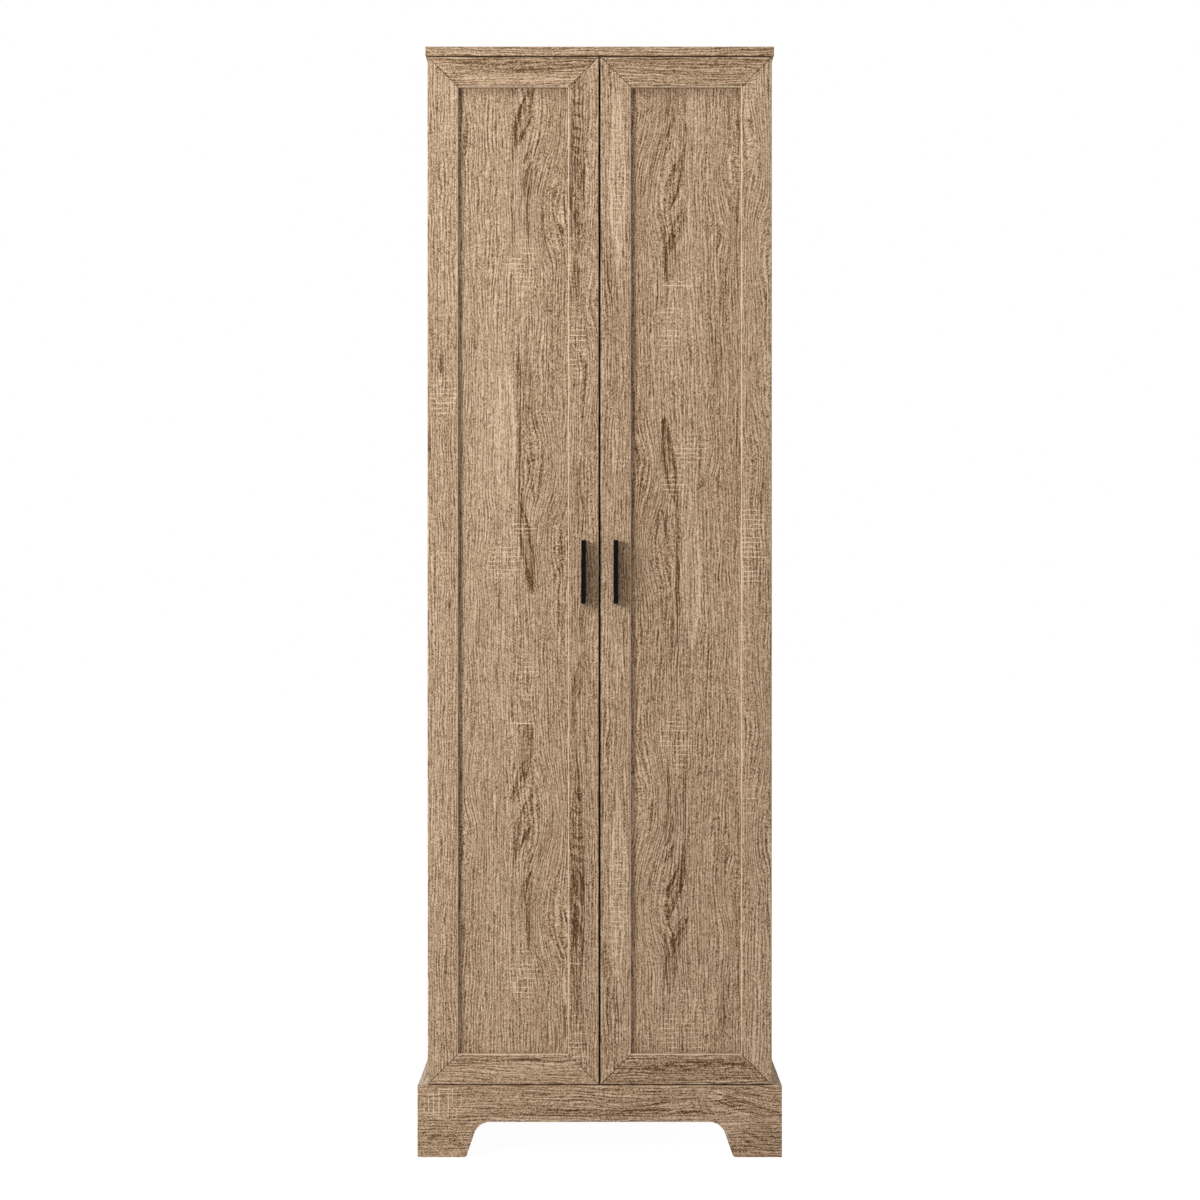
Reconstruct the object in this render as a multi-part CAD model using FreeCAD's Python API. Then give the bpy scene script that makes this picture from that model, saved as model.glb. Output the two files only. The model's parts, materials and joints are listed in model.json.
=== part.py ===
import FreeCAD, Part
import math
import os

# Tall two-door bathroom cabinet on a bracket-foot plinth, in millimetres.
# +Z is up, the doors face -Y and the origin is on the floor, under the centre of the overall box.

V = FreeCAD.Vector

# Overall sizes
CABINET_HEIGHT = 1830.0       # floor to the top face
CABINET_DEPTH = 400.0         # door faces to the back of the back panel
PLINTH_WIDTH = 600.0          # outside of the side skirts

# Boards
BOARD = 15.0                  # carcass boards
SKIRT = 15.0                  # plinth boards
BACK_BOARD = 3.0              # hardboard back
BACK_LEAF_GAP = 0.4           # between the two leaves of the back
TOP_OVERHANG = 2.0            # top past each side panel
EDGE_EASE = 0.8               # eased edges of the boards that show

# Plinth
PLINTH_TOP = 120.0            # height of the plinth's top edge
FOOT_WIDTH = 80.0             # length of a foot on the floor
FOOT_SLOPE = 20.0             # how far a foot's inner edge leans
ARCH_HEIGHT = 60.0            # floor to the underside of the arch
ARCH_RADIUS = 27.0            # round where a foot meets the arch
TOE_RADIUS = 5.0              # round at a foot's inner lower corner
REAR_RAIL_HEIGHT = 43.0       # rail behind the plinth
CORNER_BLOCK = 18.0           # square section of the corner blocks
CORNER_BLOCK_LENGTH = 40.0    # height of a corner block
GLIDE_THICKNESS = 2.0         # plastic glides that lift the boards off the floor
GLIDE_RADIUS = 12.0
GLIDE_NAIL_RADIUS = 1.0
GLIDE_NAIL_LENGTH = 14.0
GLIDE_FRONT_INSET = 46.0      # plinth face to the centre of a front glide
GLIDE_BACK_INSET = 40.0       # carcass back to the centre of a rear glide

# Doors
DOOR_THICKNESS = 18.0
DOOR_BACK_GAP = 2.5           # door to the front edges of the carcass
DOOR_SIDE_REVEAL = 2.0        # door edge to the outside of the side panel
DOOR_MIDDLE_GAP = 3.0         # between the two doors
DOOR_END_GAP = 2.0            # above and below a door
FRAME_WIDTH = 50.0            # stiles and rails
FRAME_EASE = 1.5              # eased front edges of the stiles and rails
PANEL_RECESS = 8.0            # door face to the face of the panel
PANEL_THICKNESS = 6.0
GROOVE_DEPTH = 8.0            # groove that holds the panel
PANEL_PLAY = 0.5              # panel edge to the bottom of its groove
GROOVE_CLEARANCE = 0.1        # each face of the panel in its groove
MITRE_GROOVE = 0.5            # depth and half width of the fine groove along a mitre
MITRE_DOWEL_RADIUS = 2.5
MITRE_DOWEL_LENGTH = 24.0

# Handles
HANDLE_HOLE_SPACING = 96.0
HANDLE_DROP = 2.3             # middle of a handle below the middle of its door
HANDLE_PROJECTION = 22.0      # door face to the front of the fin
HANDLE_WIDTH = 7.5
HANDLE_END = 4.0              # screw to the end of the fin
HANDLE_EASE = 0.6
GRIP_DEPTH = 1.6              # finger groove in each side of a fin
GRIP_HEIGHT = 10.0            # width of a groove, from the door towards the front
GRIP_FRONT = 7.0              # front of the fin to a groove
GRIP_END = 15.0               # end of the fin to the end of a groove
GRIP_ROUND = 1.5
HANDLE_SCREW_RADIUS = 2.0
HANDLE_SCREW_HEAD_RADIUS = 4.0
HANDLE_SCREW_HEAD = 2.2
HANDLE_SCREW_BITE = 8.0       # screw length inside a fin

# Shelves
SHELVES_PER_HALF = 2          # loose shelves above and below the fixed one
SHELF_FRONT_SETBACK = 30.0    # loose shelf behind the carcass front
SHELF_BACK_GAP = 2.0
SHELF_SIDE_PLAY = 1.0
PIN_RADIUS = 2.5
PIN_IN_BOARD = 9.0
PIN_IN_ROOM = 8.0
PIN_COLLAR_RADIUS = 4.0
PIN_COLLAR = 0.7
PIN_INSET = 50.0              # pin columns from the ends of a shelf
PIN_PITCH = 32.0
SPARE_HOLES = 1               # spare holes above and below each pin

# Joinery
TOP_RAIL_HEIGHT = 80.0        # rail under the top, at the back
CAM_RADIUS = 7.4
CAM_HEIGHT = 12.0
CAM_CENTRE = 24.0             # board end to the axis of the cam
CAM_INSET = 60.0              # cams from the front and back edges
CAM_CROSS = 6.5               # length of the driver slot in a cam
CAM_SLOT = 1.6                # width and depth of that slot
BOLT_RADIUS = 3.0
BOLT_SCREW_RADIUS = 2.4
BOLT_SCREW_LENGTH = 10.0
DOWEL_RADIUS = 4.0
DOWEL_SHORT = 10.0            # dowel in the face of a board
DOWEL_LONG = 20.0             # dowel in the end of a board
PLINTH_DOWEL_SPACING = 180.0
SCREW_RADIUS = 2.0
SCREW_HEAD_RADIUS = 3.8
SCREW_HEAD = 2.0
SKIRT_SCREW_LENGTH = 26.0
SKIRT_SCREW_DROP = 35.0       # plinth top to the screws of the side skirts
SKIRT_SCREW_INSET = 45.0      # carcass ends to the outer screws
NAIL_RADIUS = 0.7
NAIL_HEAD_RADIUS = 1.6
NAIL_HEAD = 0.8
NAIL_LENGTH = 18.0
NAIL_ROWS = 10                # nails down each side
NAIL_END_INSET = 25.0
NAIL_ACROSS = 180.0           # spacing of the nails across
LEAF_NAIL_OFFSET = 3.6        # rows each side of the joint between the leaves
WALL_HOLE_SPACING = 400.0
WALL_HOLE_RADIUS = 2.75
HOLE_CLEARANCE = 0.1          # radial, round anything that sits in a hole
DRIVER_SLOT = 0.9             # width and depth of the cross in a screw head
DRIVER_REACH = 0.6            # length of the cross, as a share of the head

# Cup hinges. Their sizes are from the door's hinge edge inwards and from the door's back inwards.
HINGES_PER_DOOR = 4
HINGE_END_INSET = 120.0       # door ends to the outer hinges
CUP_RADIUS = 17.5
CUP_EDGE = 5.0                # door edge to the cup
CUP_DEPTH = 11.5
CUP_WALL = 1.0
CUP_RIM = 0.8                 # rim past the boring
FLANGE_THICKNESS = 1.0
FLANGE_WIDTH = 15.0
FLANGE_LENGTH = 62.0
CUP_SCREW_SPACING = 48.0
CUP_SCREW_OFFSET = 6.0        # screws from the cup's axis, away from the door edge
CUP_SCREW_RADIUS = 1.7
CUP_SCREW_LENGTH = 11.0
CUP_SCREW_HEAD = 0.9
CUP_SCREW_HEAD_RADIUS = 3.2
ARM_PIN_IN = 32.0             # pin that joins the link to the arm
ARM_PIN_BACK = -6.5
CUP_PIN_IN = 13.5             # pin that joins the link to the cup
CUP_PIN_BACK = -2.5
HINGE_PIN_RADIUS = 1.2
HINGE_PIN_RUNNING = 0.05      # radial clearance of a link on its pin
LINK_HALF_WIDTH = 2.2
LINK_BREADTH = 10.0           # along the pins
CHEEK_GAP = 0.3               # link to the cheeks beside it
CHEEK = 1.5                   # cheeks of the arm
LUG = 2.0                     # lugs in the cup
LUG_HALF_WIDTH = 2.6
NOSE_RADIUS = 3.0
ARM_BACK = 24.0               # back of the arm from the door edge
ARM_UNDER = 17.0              # open side of the arm from the door edge
ARM_WEB = 1.5
ARM_END = 60.0                # door back to the far end of the arm
PLATE_THICKNESS = 2.0
PLATE_LENGTH = 48.0
PLATE_WIDTH = 15.0
PLATE_SETBACK = 37.0          # carcass front to the screws of a plate
PLATE_SCREW_SPACING = 32.0
PLATE_SCREW_RADIUS = 2.5
PLATE_SCREW_LENGTH = 11.0
PLATE_SCREW_HEAD_RADIUS = 4.2
PLATE_SCREW_HEAD = 1.6
PLATE_BLOCK_LENGTH = 34.0
CLAMP_SCREW_RADIUS = 2.0
CLAMP_SCREW_HEAD_RADIUS = 3.6
CLAMP_SCREW_HEAD = 2.0
CLAMP_SCREW_BITE = 4.0

# Magnetic catch under the top, its strikes and the door bumpers
CATCH_WIDTH = 46.0
CATCH_DEPTH = 16.0
CATCH_HEIGHT = 13.0
CATCH_EAR = 12.0
CATCH_EAR_THICKNESS = 2.5
CATCH_SCREW_LENGTH = 13.0
STRIKE_SIZE = 14.0
STRIKE_THICKNESS = 1.2
STRIKE_INSET = 6.0            # door edge to the strike
STRIKE_DROP = 3.0             # door end to the strike
STRIKE_GAP = 0.3              # strike to the catch
BUMPER_RADIUS = 5.0
BUMPER_THICKNESS = 2.2
BUMPER_INSET = 20.0           # door edge to the centre of a bumper

# Planes that the sizes above fix
BACK_Y = (CABINET_DEPTH + HANDLE_PROJECTION) / 2
FRONT_Y = BACK_Y - CABINET_DEPTH
CARCASS_BACK_Y = BACK_Y - BACK_BOARD
DOOR_BACK_Y = FRONT_Y + DOOR_THICKNESS
CARCASS_FRONT_Y = DOOR_BACK_Y + DOOR_BACK_GAP
PLINTH_BACK_Y = FRONT_Y + SKIRT
PLINTH_X = PLINTH_WIDTH / 2
OUTER_X = PLINTH_X - SKIRT
INNER_X = OUTER_X - BOARD
BASE_Z = GLIDE_THICKNESS
FLOOR_Z = PLINTH_TOP - BOARD
TOP_Z = CABINET_HEIGHT - BOARD
MIDDLE_Z = (PLINTH_TOP + TOP_Z) / 2
FIXED_Z = MIDDLE_Z - BOARD / 2
DOOR_X = OUTER_X - DOOR_SIDE_REVEAL
DOOR_INNER_X = DOOR_MIDDLE_GAP / 2
DOOR_LOW_Z = PLINTH_TOP + DOOR_END_GAP
DOOR_HIGH_Z = TOP_Z - DOOR_END_GAP
HANDLE_MIDDLE_Z = (DOOR_LOW_Z + DOOR_HIGH_Z) / 2 - HANDLE_DROP
RAIL_FRONT_Y = CARCASS_BACK_Y - BOARD
RAIL_MIDDLE_Y = CARCASS_BACK_Y - BOARD / 2
TOP_RAIL_Z = TOP_Z - TOP_RAIL_HEIGHT / 2
CATCH_FRONT_Y = DOOR_BACK_Y + STRIKE_THICKNESS + STRIKE_GAP
HINGE_PITCH = (DOOR_HIGH_Z - DOOR_LOW_Z - 2 * HINGE_END_INSET) / (HINGES_PER_DOOR - 1)
HINGE_LEVELS = [DOOR_LOW_Z + HINGE_END_INSET + n * HINGE_PITCH for n in range(HINGES_PER_DOOR)]

UP = V(0, 0, 1)
BACKWARD = V(0, 1, 0)
FORWARD = V(0, -1, 0)
RIGHT = V(1, 0, 0)
LEFT = V(-1, 0, 0)
ORIGIN = V(0, 0, 0)

nodes = {}


def box(x_range, y_range, z_range):
    """Block between two planes on each axis."""
    size = [high - low for low, high in (x_range, y_range, z_range)]
    return Part.makeBox(*size, V(x_range[0], y_range[0], z_range[0]))


def rod(start, direction, radius, length):
    return Part.makeCylinder(radius, length, start, direction)


def prism(points, depth):
    """Solid swept from a closed outline by the vector depth."""
    return Part.Face(Part.makePolygon(points + points[:1])).extrude(depth)


def mirrored(shape):
    return shape.mirror(ORIGIN, RIGHT)


def with_mirrors(shapes):
    return shapes + [mirrored(shape) for shape in shapes]


def drilled(shape, tools):
    """Shape with the tools cut away."""
    return shape.cut(Part.makeCompound(tools)) if tools else shape


def edges_on(shape, axis, value, direction=None):
    """Straight edges that lie in the plane axis = value, all or only those along direction."""
    chosen = []
    for edge in shape.Edges:
        ends = [vertex.Point for vertex in edge.Vertexes]
        flat = all(abs(getattr(point, axis) - value) < 1e-6 for point in ends)
        along = direction is None or (len(ends) == 2 and (ends[1] - ends[0]).cross(direction).Length < 1e-6)
        if flat and along:
            chosen.append(edge)
    return chosen


def corner_edges(shape, axes, corners):
    """Edges whose two ends both stand at one of the corners, given on two axes."""
    chosen = []
    for edge in shape.Edges:
        for corner in corners:
            at_corner = [
                all(abs(getattr(vertex.Point, axis) - value) < 1e-6 for axis, value in zip(axes, corner))
                for vertex in edge.Vertexes
            ]
            if len(at_corner) == 2 and all(at_corner):
                chosen.append(edge)
    return chosen


def plain_nail(tip, direction, radius, length, head_radius, head):
    """Shank from its tip towards a round head, which ends at length."""
    shank = rod(tip, direction, radius, length)
    return shank.fuse(rod(tip + direction * (length - head), direction, head_radius, head))


def headed_screw(tip, direction, radius, length, head_radius, head):
    """The same with a cross for the driver in its head."""
    screw = plain_nail(tip, direction, radius, length, head_radius, head)
    crown = tip + direction * length
    first = UP if abs(direction.z) < 0.5 else RIGHT
    second = direction.cross(first)
    reach = 2 * head_radius * DRIVER_REACH
    return drilled(screw, [slot_bar(crown, arm, direction, reach, DRIVER_SLOT) for arm in (first, second)])


def slot_bar(centre, along, outward, length, width):
    """One bar of a cross-shaped driver slot, as deep as it is wide."""
    across = along.cross(outward)
    corners = [(-length, -width), (length, -width), (length, width), (-length, width)]
    outline = [centre + along * (u / 2) + across * (v / 2) for u, v in corners]
    return prism(outline, outward * -width)


def screw_space(tip, direction, radius, length, head_radius, head):
    """Hole for such a screw, with clearance all round and open at the head."""
    start = tip - direction * HOLE_CLEARANCE
    shank = rod(start, direction, radius + HOLE_CLEARANCE, length + HOLE_CLEARANCE)
    sink_floor = tip + direction * (length - head - HOLE_CLEARANCE)
    return shank.fuse(rod(sink_floor, direction, head_radius + HOLE_CLEARANCE, head + 1))


def dowel_set(face, direction):
    """Dowel across a joint: the short end lies against direction, the long end along it."""
    length = DOWEL_SHORT + DOWEL_LONG
    start = face - direction * DOWEL_SHORT
    spare = start - direction * HOLE_CLEARANCE
    hole = rod(spare, direction, DOWEL_RADIUS + HOLE_CLEARANCE, length + 2 * HOLE_CLEARANCE)
    return rod(start, direction, DOWEL_RADIUS, length), hole


def cam_set(face, direction, cam_side):
    """Cam lock across a joint. The bolt screws into the board behind face and runs along direction.
    The cam sits in the other board, sunk from the board face that cam_side points to."""
    middle = face + direction * CAM_CENTRE
    cam_top = BOARD / 2
    screw_end = rod(face - direction * BOLT_SCREW_LENGTH, direction, BOLT_SCREW_RADIUS, BOLT_SCREW_LENGTH)
    bolt = screw_end.fuse(rod(face, direction, BOLT_RADIUS, CAM_CENTRE))
    far_end = face - direction * (BOLT_SCREW_LENGTH + HOLE_CLEARANCE)
    screw_depth = BOLT_SCREW_LENGTH + HOLE_CLEARANCE
    screw_hole = rod(far_end, direction, BOLT_SCREW_RADIUS + HOLE_CLEARANCE, screw_depth)
    bolt_hole = rod(face, direction, BOLT_RADIUS + HOLE_CLEARANCE, CAM_CENTRE + HOLE_CLEARANCE)
    cam = rod(middle + cam_side * (cam_top - CAM_HEIGHT), cam_side, CAM_RADIUS, CAM_HEIGHT)
    across = direction.cross(cam_side)
    crown = middle + cam_side * cam_top
    slots = [slot_bar(crown, arm, cam_side, CAM_CROSS, CAM_SLOT) for arm in (direction, across)]
    cam = drilled(cam, [bolt_hole] + slots)
    pocket_floor = middle + cam_side * (cam_top - CAM_HEIGHT - HOLE_CLEARANCE)
    pocket = rod(pocket_floor, cam_side, CAM_RADIUS + HOLE_CLEARANCE, CAM_HEIGHT + 1)
    return bolt, cam, screw_hole, bolt_hole.fuse(pocket)


def arch_points(low, high, toe_low, toe_high, top):
    """Outline of a board on two bracket feet, as (distance along, height) pairs."""
    return [
        (low, BASE_Z), (toe_low, BASE_Z), (toe_low + FOOT_SLOPE, ARCH_HEIGHT),
        (toe_high - FOOT_SLOPE, ARCH_HEIGHT), (toe_high, BASE_Z), (high, BASE_Z), (high, top), (low, top),
    ]


def arched_board(outline, axes, place, depth):
    """Board with bracket feet, its arch and toes rounded. place turns an outline pair into a point."""
    board = prism([place(*pair) for pair in outline], depth)
    arch = [pair for pair in outline if pair[1] == ARCH_HEIGHT]
    toes = [outline[1], outline[4]]
    board = board.makeFillet(ARCH_RADIUS, corner_edges(board, axes, arch))
    return board.makeFillet(TOE_RADIUS, corner_edges(board, axes, toes))


def make_carcass():
    """Panels, shelves, rails and plinth, with the holes of everything that fastens them."""
    toe_front = FRONT_Y + FOOT_WIDTH
    toe_back = CARCASS_BACK_Y - FOOT_WIDTH
    side_outline = arch_points(CARCASS_FRONT_Y, CARCASS_BACK_Y, toe_front, toe_back, TOP_Z)
    skirt_outline = arch_points(PLINTH_BACK_Y, CARCASS_BACK_Y, toe_front, toe_back, PLINTH_TOP)
    toe_x = PLINTH_X - FOOT_WIDTH
    front_outline = arch_points(-PLINTH_X, PLINTH_X, -toe_x, toe_x, PLINTH_TOP)

    side = arched_board(side_outline, "yz", lambda y, z: V(-OUTER_X, y, z), RIGHT * BOARD)
    side = side.makeFillet(EDGE_EASE, edges_on(side, "y", CARCASS_FRONT_Y, UP))
    skirt = arched_board(skirt_outline, "yz", lambda y, z: V(-PLINTH_X, y, z), RIGHT * SKIRT)
    front = arched_board(front_outline, "xz", lambda x, z: V(x, FRONT_Y, z), BACKWARD * SKIRT)
    skirt = skirt.makeFillet(EDGE_EASE, corner_edges(skirt, "xz", [(-PLINTH_X, PLINTH_TOP)]))
    front_edges = edges_on(front, "y", FRONT_Y, RIGHT) + edges_on(front, "y", FRONT_Y, UP)
    front = front.makeFillet(EDGE_EASE, front_edges)

    top_x = OUTER_X + TOP_OVERHANG
    top = box((-top_x, top_x), (FRONT_Y, BACK_Y), (TOP_Z, CABINET_HEIGHT))
    top = top.makeFillet(EDGE_EASE, top.Edges)
    inner = (-INNER_X, INNER_X)
    carcass = (CARCASS_FRONT_Y, CARCASS_BACK_Y)
    rail = (RAIL_FRONT_Y, CARCASS_BACK_Y)
    back_x = (-OUTER_X, OUTER_X)
    back_y = (CARCASS_BACK_Y, BACK_Y)
    half_gap = BACK_LEAF_GAP / 2

    boards = {
        "side_panel_left": side,
        "side_panel_right": mirrored(side),
        "top_panel": top,
        "bottom_panel": box(inner, (PLINTH_BACK_Y, CARCASS_BACK_Y), (FLOOR_Z, PLINTH_TOP)),
        "fixed_shelf": shelf_board(inner, carcass, FIXED_Z),
        "top_back_rail": box(inner, rail, (TOP_Z - TOP_RAIL_HEIGHT, TOP_Z)),
        "plinth_front": front,
        "plinth_side_left": skirt,
        "plinth_side_right": mirrored(skirt),
        "plinth_back_rail": box(inner, rail, (FLOOR_Z - REAR_RAIL_HEIGHT, FLOOR_Z)),
        "back_panel_lower": box(back_x, back_y, (FLOOR_Z, MIDDLE_Z - half_gap)),
        "back_panel_upper": box(back_x, back_y, (MIDDLE_Z + half_gap, TOP_Z)),
    }
    holes = {name: [] for name in boards}
    add_cams(holes)
    add_dowels(holes)
    add_plinth_fixings(holes)
    add_back_nails(holes)
    add_shelves(holes)
    add_wall_holes(holes)
    add_hinge_plates(holes)
    add_catch(holes)
    for name, board in boards.items():
        nodes[name] = drilled(board, holes[name])


def shelf_board(x_range, y_range, low):
    """Shelf with its two long front edges eased."""
    shelf = box(x_range, y_range, (low, low + BOARD))
    return shelf.makeFillet(EDGE_EASE, edges_on(shelf, "y", y_range[0], RIGHT))


def add_cams(holes):
    """Cam locks at the bottom, the fixed shelf, the top and the rail under it."""
    bolts = []
    cams = []
    for y in (CARCASS_FRONT_Y + CAM_INSET, CARCASS_BACK_Y - CAM_INSET):
        for board, z in (("bottom_panel", FLOOR_Z + BOARD / 2), ("fixed_shelf", MIDDLE_Z)):
            place_cam(holes, bolts, cams, "side_panel", board, V(-INNER_X, y, z), RIGHT, UP * -1)
        top_joint = V(-INNER_X - BOARD / 2, y, TOP_Z)
        place_cam(holes, bolts, cams, "top_panel", "side_panel", top_joint, UP * -1, RIGHT)
    rail_joint = V(-INNER_X, RAIL_MIDDLE_Y, TOP_RAIL_Z)
    place_cam(holes, bolts, cams, "side_panel", "top_back_rail", rail_joint, RIGHT, FORWARD)
    nodes["cam_bolts"] = with_mirrors(bolts)
    nodes["cam_locks"] = with_mirrors(cams)


def place_cam(holes, bolts, cams, bolt_board, cam_board, face, direction, cam_side):
    bolt, cam, screw_hole, cam_hole = cam_set(face, direction, cam_side)
    bolts.append(bolt)
    cams.append(cam)
    add_holes(holes, bolt_board, screw_hole)
    add_holes(holes, cam_board, cam_hole)


def add_holes(holes, board, hole):
    """Records a hole on the left and its mirror image, on a board that spans both sides or on a pair."""
    if board in holes:
        holes[board] += with_mirrors([hole])
    else:
        holes[board + "_left"].append(hole)
        holes[board + "_right"].append(mirrored(hole))


def add_dowels(holes):
    """Wooden dowels beside the cams, at the rear rail and behind the plinth front."""
    middle_y = (CARCASS_FRONT_Y + CARCASS_BACK_Y) / 2
    rear_z = FLOOR_Z - REAR_RAIL_HEIGHT / 2
    bottom_z = FLOOR_Z + BOARD / 2
    joints = [
        ("side_panel", "bottom_panel", V(-INNER_X, middle_y, bottom_z), RIGHT),
        ("side_panel", "fixed_shelf", V(-INNER_X, middle_y, MIDDLE_Z), RIGHT),
        ("side_panel", "plinth_back_rail", V(-INNER_X, RAIL_MIDDLE_Y, rear_z), RIGHT),
        ("top_panel", "side_panel", V(-INNER_X - BOARD / 2, middle_y, TOP_Z), UP * -1),
        ("plinth_front", "bottom_panel", V(-PLINTH_DOWEL_SPACING, PLINTH_BACK_Y, bottom_z), BACKWARD),
    ]
    dowels = []
    for face_board, end_board, face, direction in joints:
        dowel, hole = dowel_set(face, direction)
        dowels.append(dowel)
        add_holes(holes, face_board, hole)
        add_holes(holes, end_board, hole)
    nodes["wood_dowels"] = with_mirrors(dowels)


def add_plinth_fixings(holes):
    """Screws of the side skirts, corner blocks with their screws, and the glides under the feet."""
    screw = (SCREW_RADIUS, SKIRT_SCREW_LENGTH, SCREW_HEAD_RADIUS, SCREW_HEAD)
    screws = []
    middle_y = (CARCASS_FRONT_Y + CARCASS_BACK_Y) / 2
    screw_z = PLINTH_TOP - SKIRT_SCREW_DROP
    for y in (CARCASS_FRONT_Y + SKIRT_SCREW_INSET, middle_y, CARCASS_BACK_Y - SKIRT_SCREW_INSET):
        tip = V(-INNER_X - SKIRT_SCREW_LENGTH, y, screw_z)
        screws.append(headed_screw(tip, RIGHT, *screw))
        for board in ("side_panel", "plinth_side"):
            add_holes(holes, board, screw_space(tip, RIGHT, *screw))

    block_x = (-INNER_X, -INNER_X + CORNER_BLOCK)
    block_y = (PLINTH_BACK_Y, PLINTH_BACK_Y + CORNER_BLOCK)
    block = box(block_x, block_y, (FLOOR_Z - CORNER_BLOCK_LENGTH, FLOOR_Z))
    block_z = FLOOR_Z - CORNER_BLOCK_LENGTH / 2
    tip = V(-INNER_X + CORNER_BLOCK / 2, PLINTH_BACK_Y + CORNER_BLOCK - SKIRT_SCREW_LENGTH, block_z)
    screws.append(headed_screw(tip, BACKWARD, *screw))
    block_hole = screw_space(tip, BACKWARD, *screw)
    add_holes(holes, "plinth_front", block_hole)
    nodes["plinth_corner_blocks"] = with_mirrors([drilled(block, [block_hole])])
    nodes["plinth_screws"] = with_mirrors(screws)

    glides = []
    glide_x = -(INNER_X + OUTER_X) / 2
    for y in (FRONT_Y + GLIDE_FRONT_INSET, CARCASS_BACK_Y - GLIDE_BACK_INSET):
        centre = V(glide_x, y, 0)
        pad = rod(centre, UP, GLIDE_RADIUS, GLIDE_THICKNESS)
        pad = pad.makeFillet(GLIDE_THICKNESS / 4, edges_on(pad, "z", 0))
        top = centre + UP * GLIDE_THICKNESS
        glides.append(pad.fuse(rod(top, UP, GLIDE_NAIL_RADIUS, GLIDE_NAIL_LENGTH)))
        nail_hole = rod(top, UP, GLIDE_NAIL_RADIUS + HOLE_CLEARANCE, GLIDE_NAIL_LENGTH + HOLE_CLEARANCE)
        add_holes(holes, "side_panel", nail_hole)
    nodes["floor_glides"] = with_mirrors(glides)


def add_back_nails(holes):
    """Nails through the two leaves of the back, their heads sunk flush."""
    nail = (NAIL_RADIUS, NAIL_LENGTH, NAIL_HEAD_RADIUS, NAIL_HEAD)
    places = []
    low = FLOOR_Z + NAIL_END_INSET
    step = (TOP_Z - NAIL_END_INSET - low) / (NAIL_ROWS - 1)
    for row in range(NAIL_ROWS):
        places.append(("side_panel", -INNER_X - BOARD / 2, low + row * step))
    for x in (-NAIL_ACROSS, -NAIL_ACROSS / 2):
        places.append(("bottom_panel", x, FLOOR_Z + BOARD / 2))
        places.append(("top_back_rail", x, TOP_RAIL_Z))
        for offset in (-LEAF_NAIL_OFFSET, LEAF_NAIL_OFFSET):
            places.append(("fixed_shelf", x, MIDDLE_Z + offset))
    nails = []
    for board, x, z in places:
        tip = V(x, BACK_Y - NAIL_LENGTH, z)
        nails.append(plain_nail(tip, BACKWARD, *nail))
        hole = screw_space(tip, BACKWARD, *nail)
        add_holes(holes, board, hole)
        add_holes(holes, "back_panel_lower" if z < MIDDLE_Z else "back_panel_upper", hole)
    nodes["back_panel_nails"] = with_mirrors(nails)


def add_shelves(holes):
    """Loose shelves, evenly spread above and below the fixed one, on pins in drilled columns."""
    shelf_x = INNER_X - SHELF_SIDE_PLAY
    shelf_y = (CARCASS_FRONT_Y + SHELF_FRONT_SETBACK, CARCASS_BACK_Y - SHELF_BACK_GAP)
    pins = []
    number = 0
    for low, high in ((PLINTH_TOP, FIXED_Z), (FIXED_Z + BOARD, TOP_Z)):
        room = (high - low - SHELVES_PER_HALF * BOARD) / (SHELVES_PER_HALF + 1)
        for row in range(SHELVES_PER_HALF):
            number += 1
            shelf_z = low + room + row * (room + BOARD)
            nodes["adjustable_shelf_%d" % number] = shelf_board((-shelf_x, shelf_x), shelf_y, shelf_z)
            pin_z = shelf_z - PIN_RADIUS - HINGE_PIN_RUNNING
            for y in (shelf_y[0] + PIN_INSET, shelf_y[1] - PIN_INSET):
                pins.append(shelf_pin(V(-INNER_X, y, pin_z)))
                for spare in range(-SPARE_HOLES, SPARE_HOLES + 1):
                    mouth = V(-INNER_X, y, pin_z + spare * PIN_PITCH)
                    depth = PIN_IN_BOARD + HOLE_CLEARANCE
                    add_holes(holes, "side_panel", rod(mouth, LEFT, PIN_RADIUS + HOLE_CLEARANCE, depth))
    nodes["shelf_pins"] = with_mirrors(pins)


def shelf_pin(mouth):
    """Pin in a side panel, with a thin collar at the board and a peg under the shelf."""
    peg = rod(mouth - RIGHT * PIN_IN_BOARD, RIGHT, PIN_RADIUS, PIN_IN_BOARD + PIN_IN_ROOM)
    collar = rod(mouth, RIGHT, PIN_COLLAR_RADIUS, PIN_COLLAR)
    return peg.fuse(collar)


def add_wall_holes(holes):
    """Clear holes through the top rail and the back for the wall screws."""
    start = V(-WALL_HOLE_SPACING / 2, RAIL_FRONT_Y, TOP_RAIL_Z)
    hole = rod(start, BACKWARD, WALL_HOLE_RADIUS, BOARD + BACK_BOARD)
    for board in ("top_back_rail", "back_panel_upper"):
        add_holes(holes, board, hole)


def hinge_point(inward, back, z=0.0):
    """Point of the left door's hinge, from the door's hinge edge and the door's back."""
    return V(-DOOR_X + inward, DOOR_BACK_Y + back, z)


def at_levels(shape):
    """Copies of a hinge piece at every hinge of a door."""
    copies = []
    for level in HINGE_LEVELS:
        copies.append(shape.translated(UP * level))
    return copies


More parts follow.
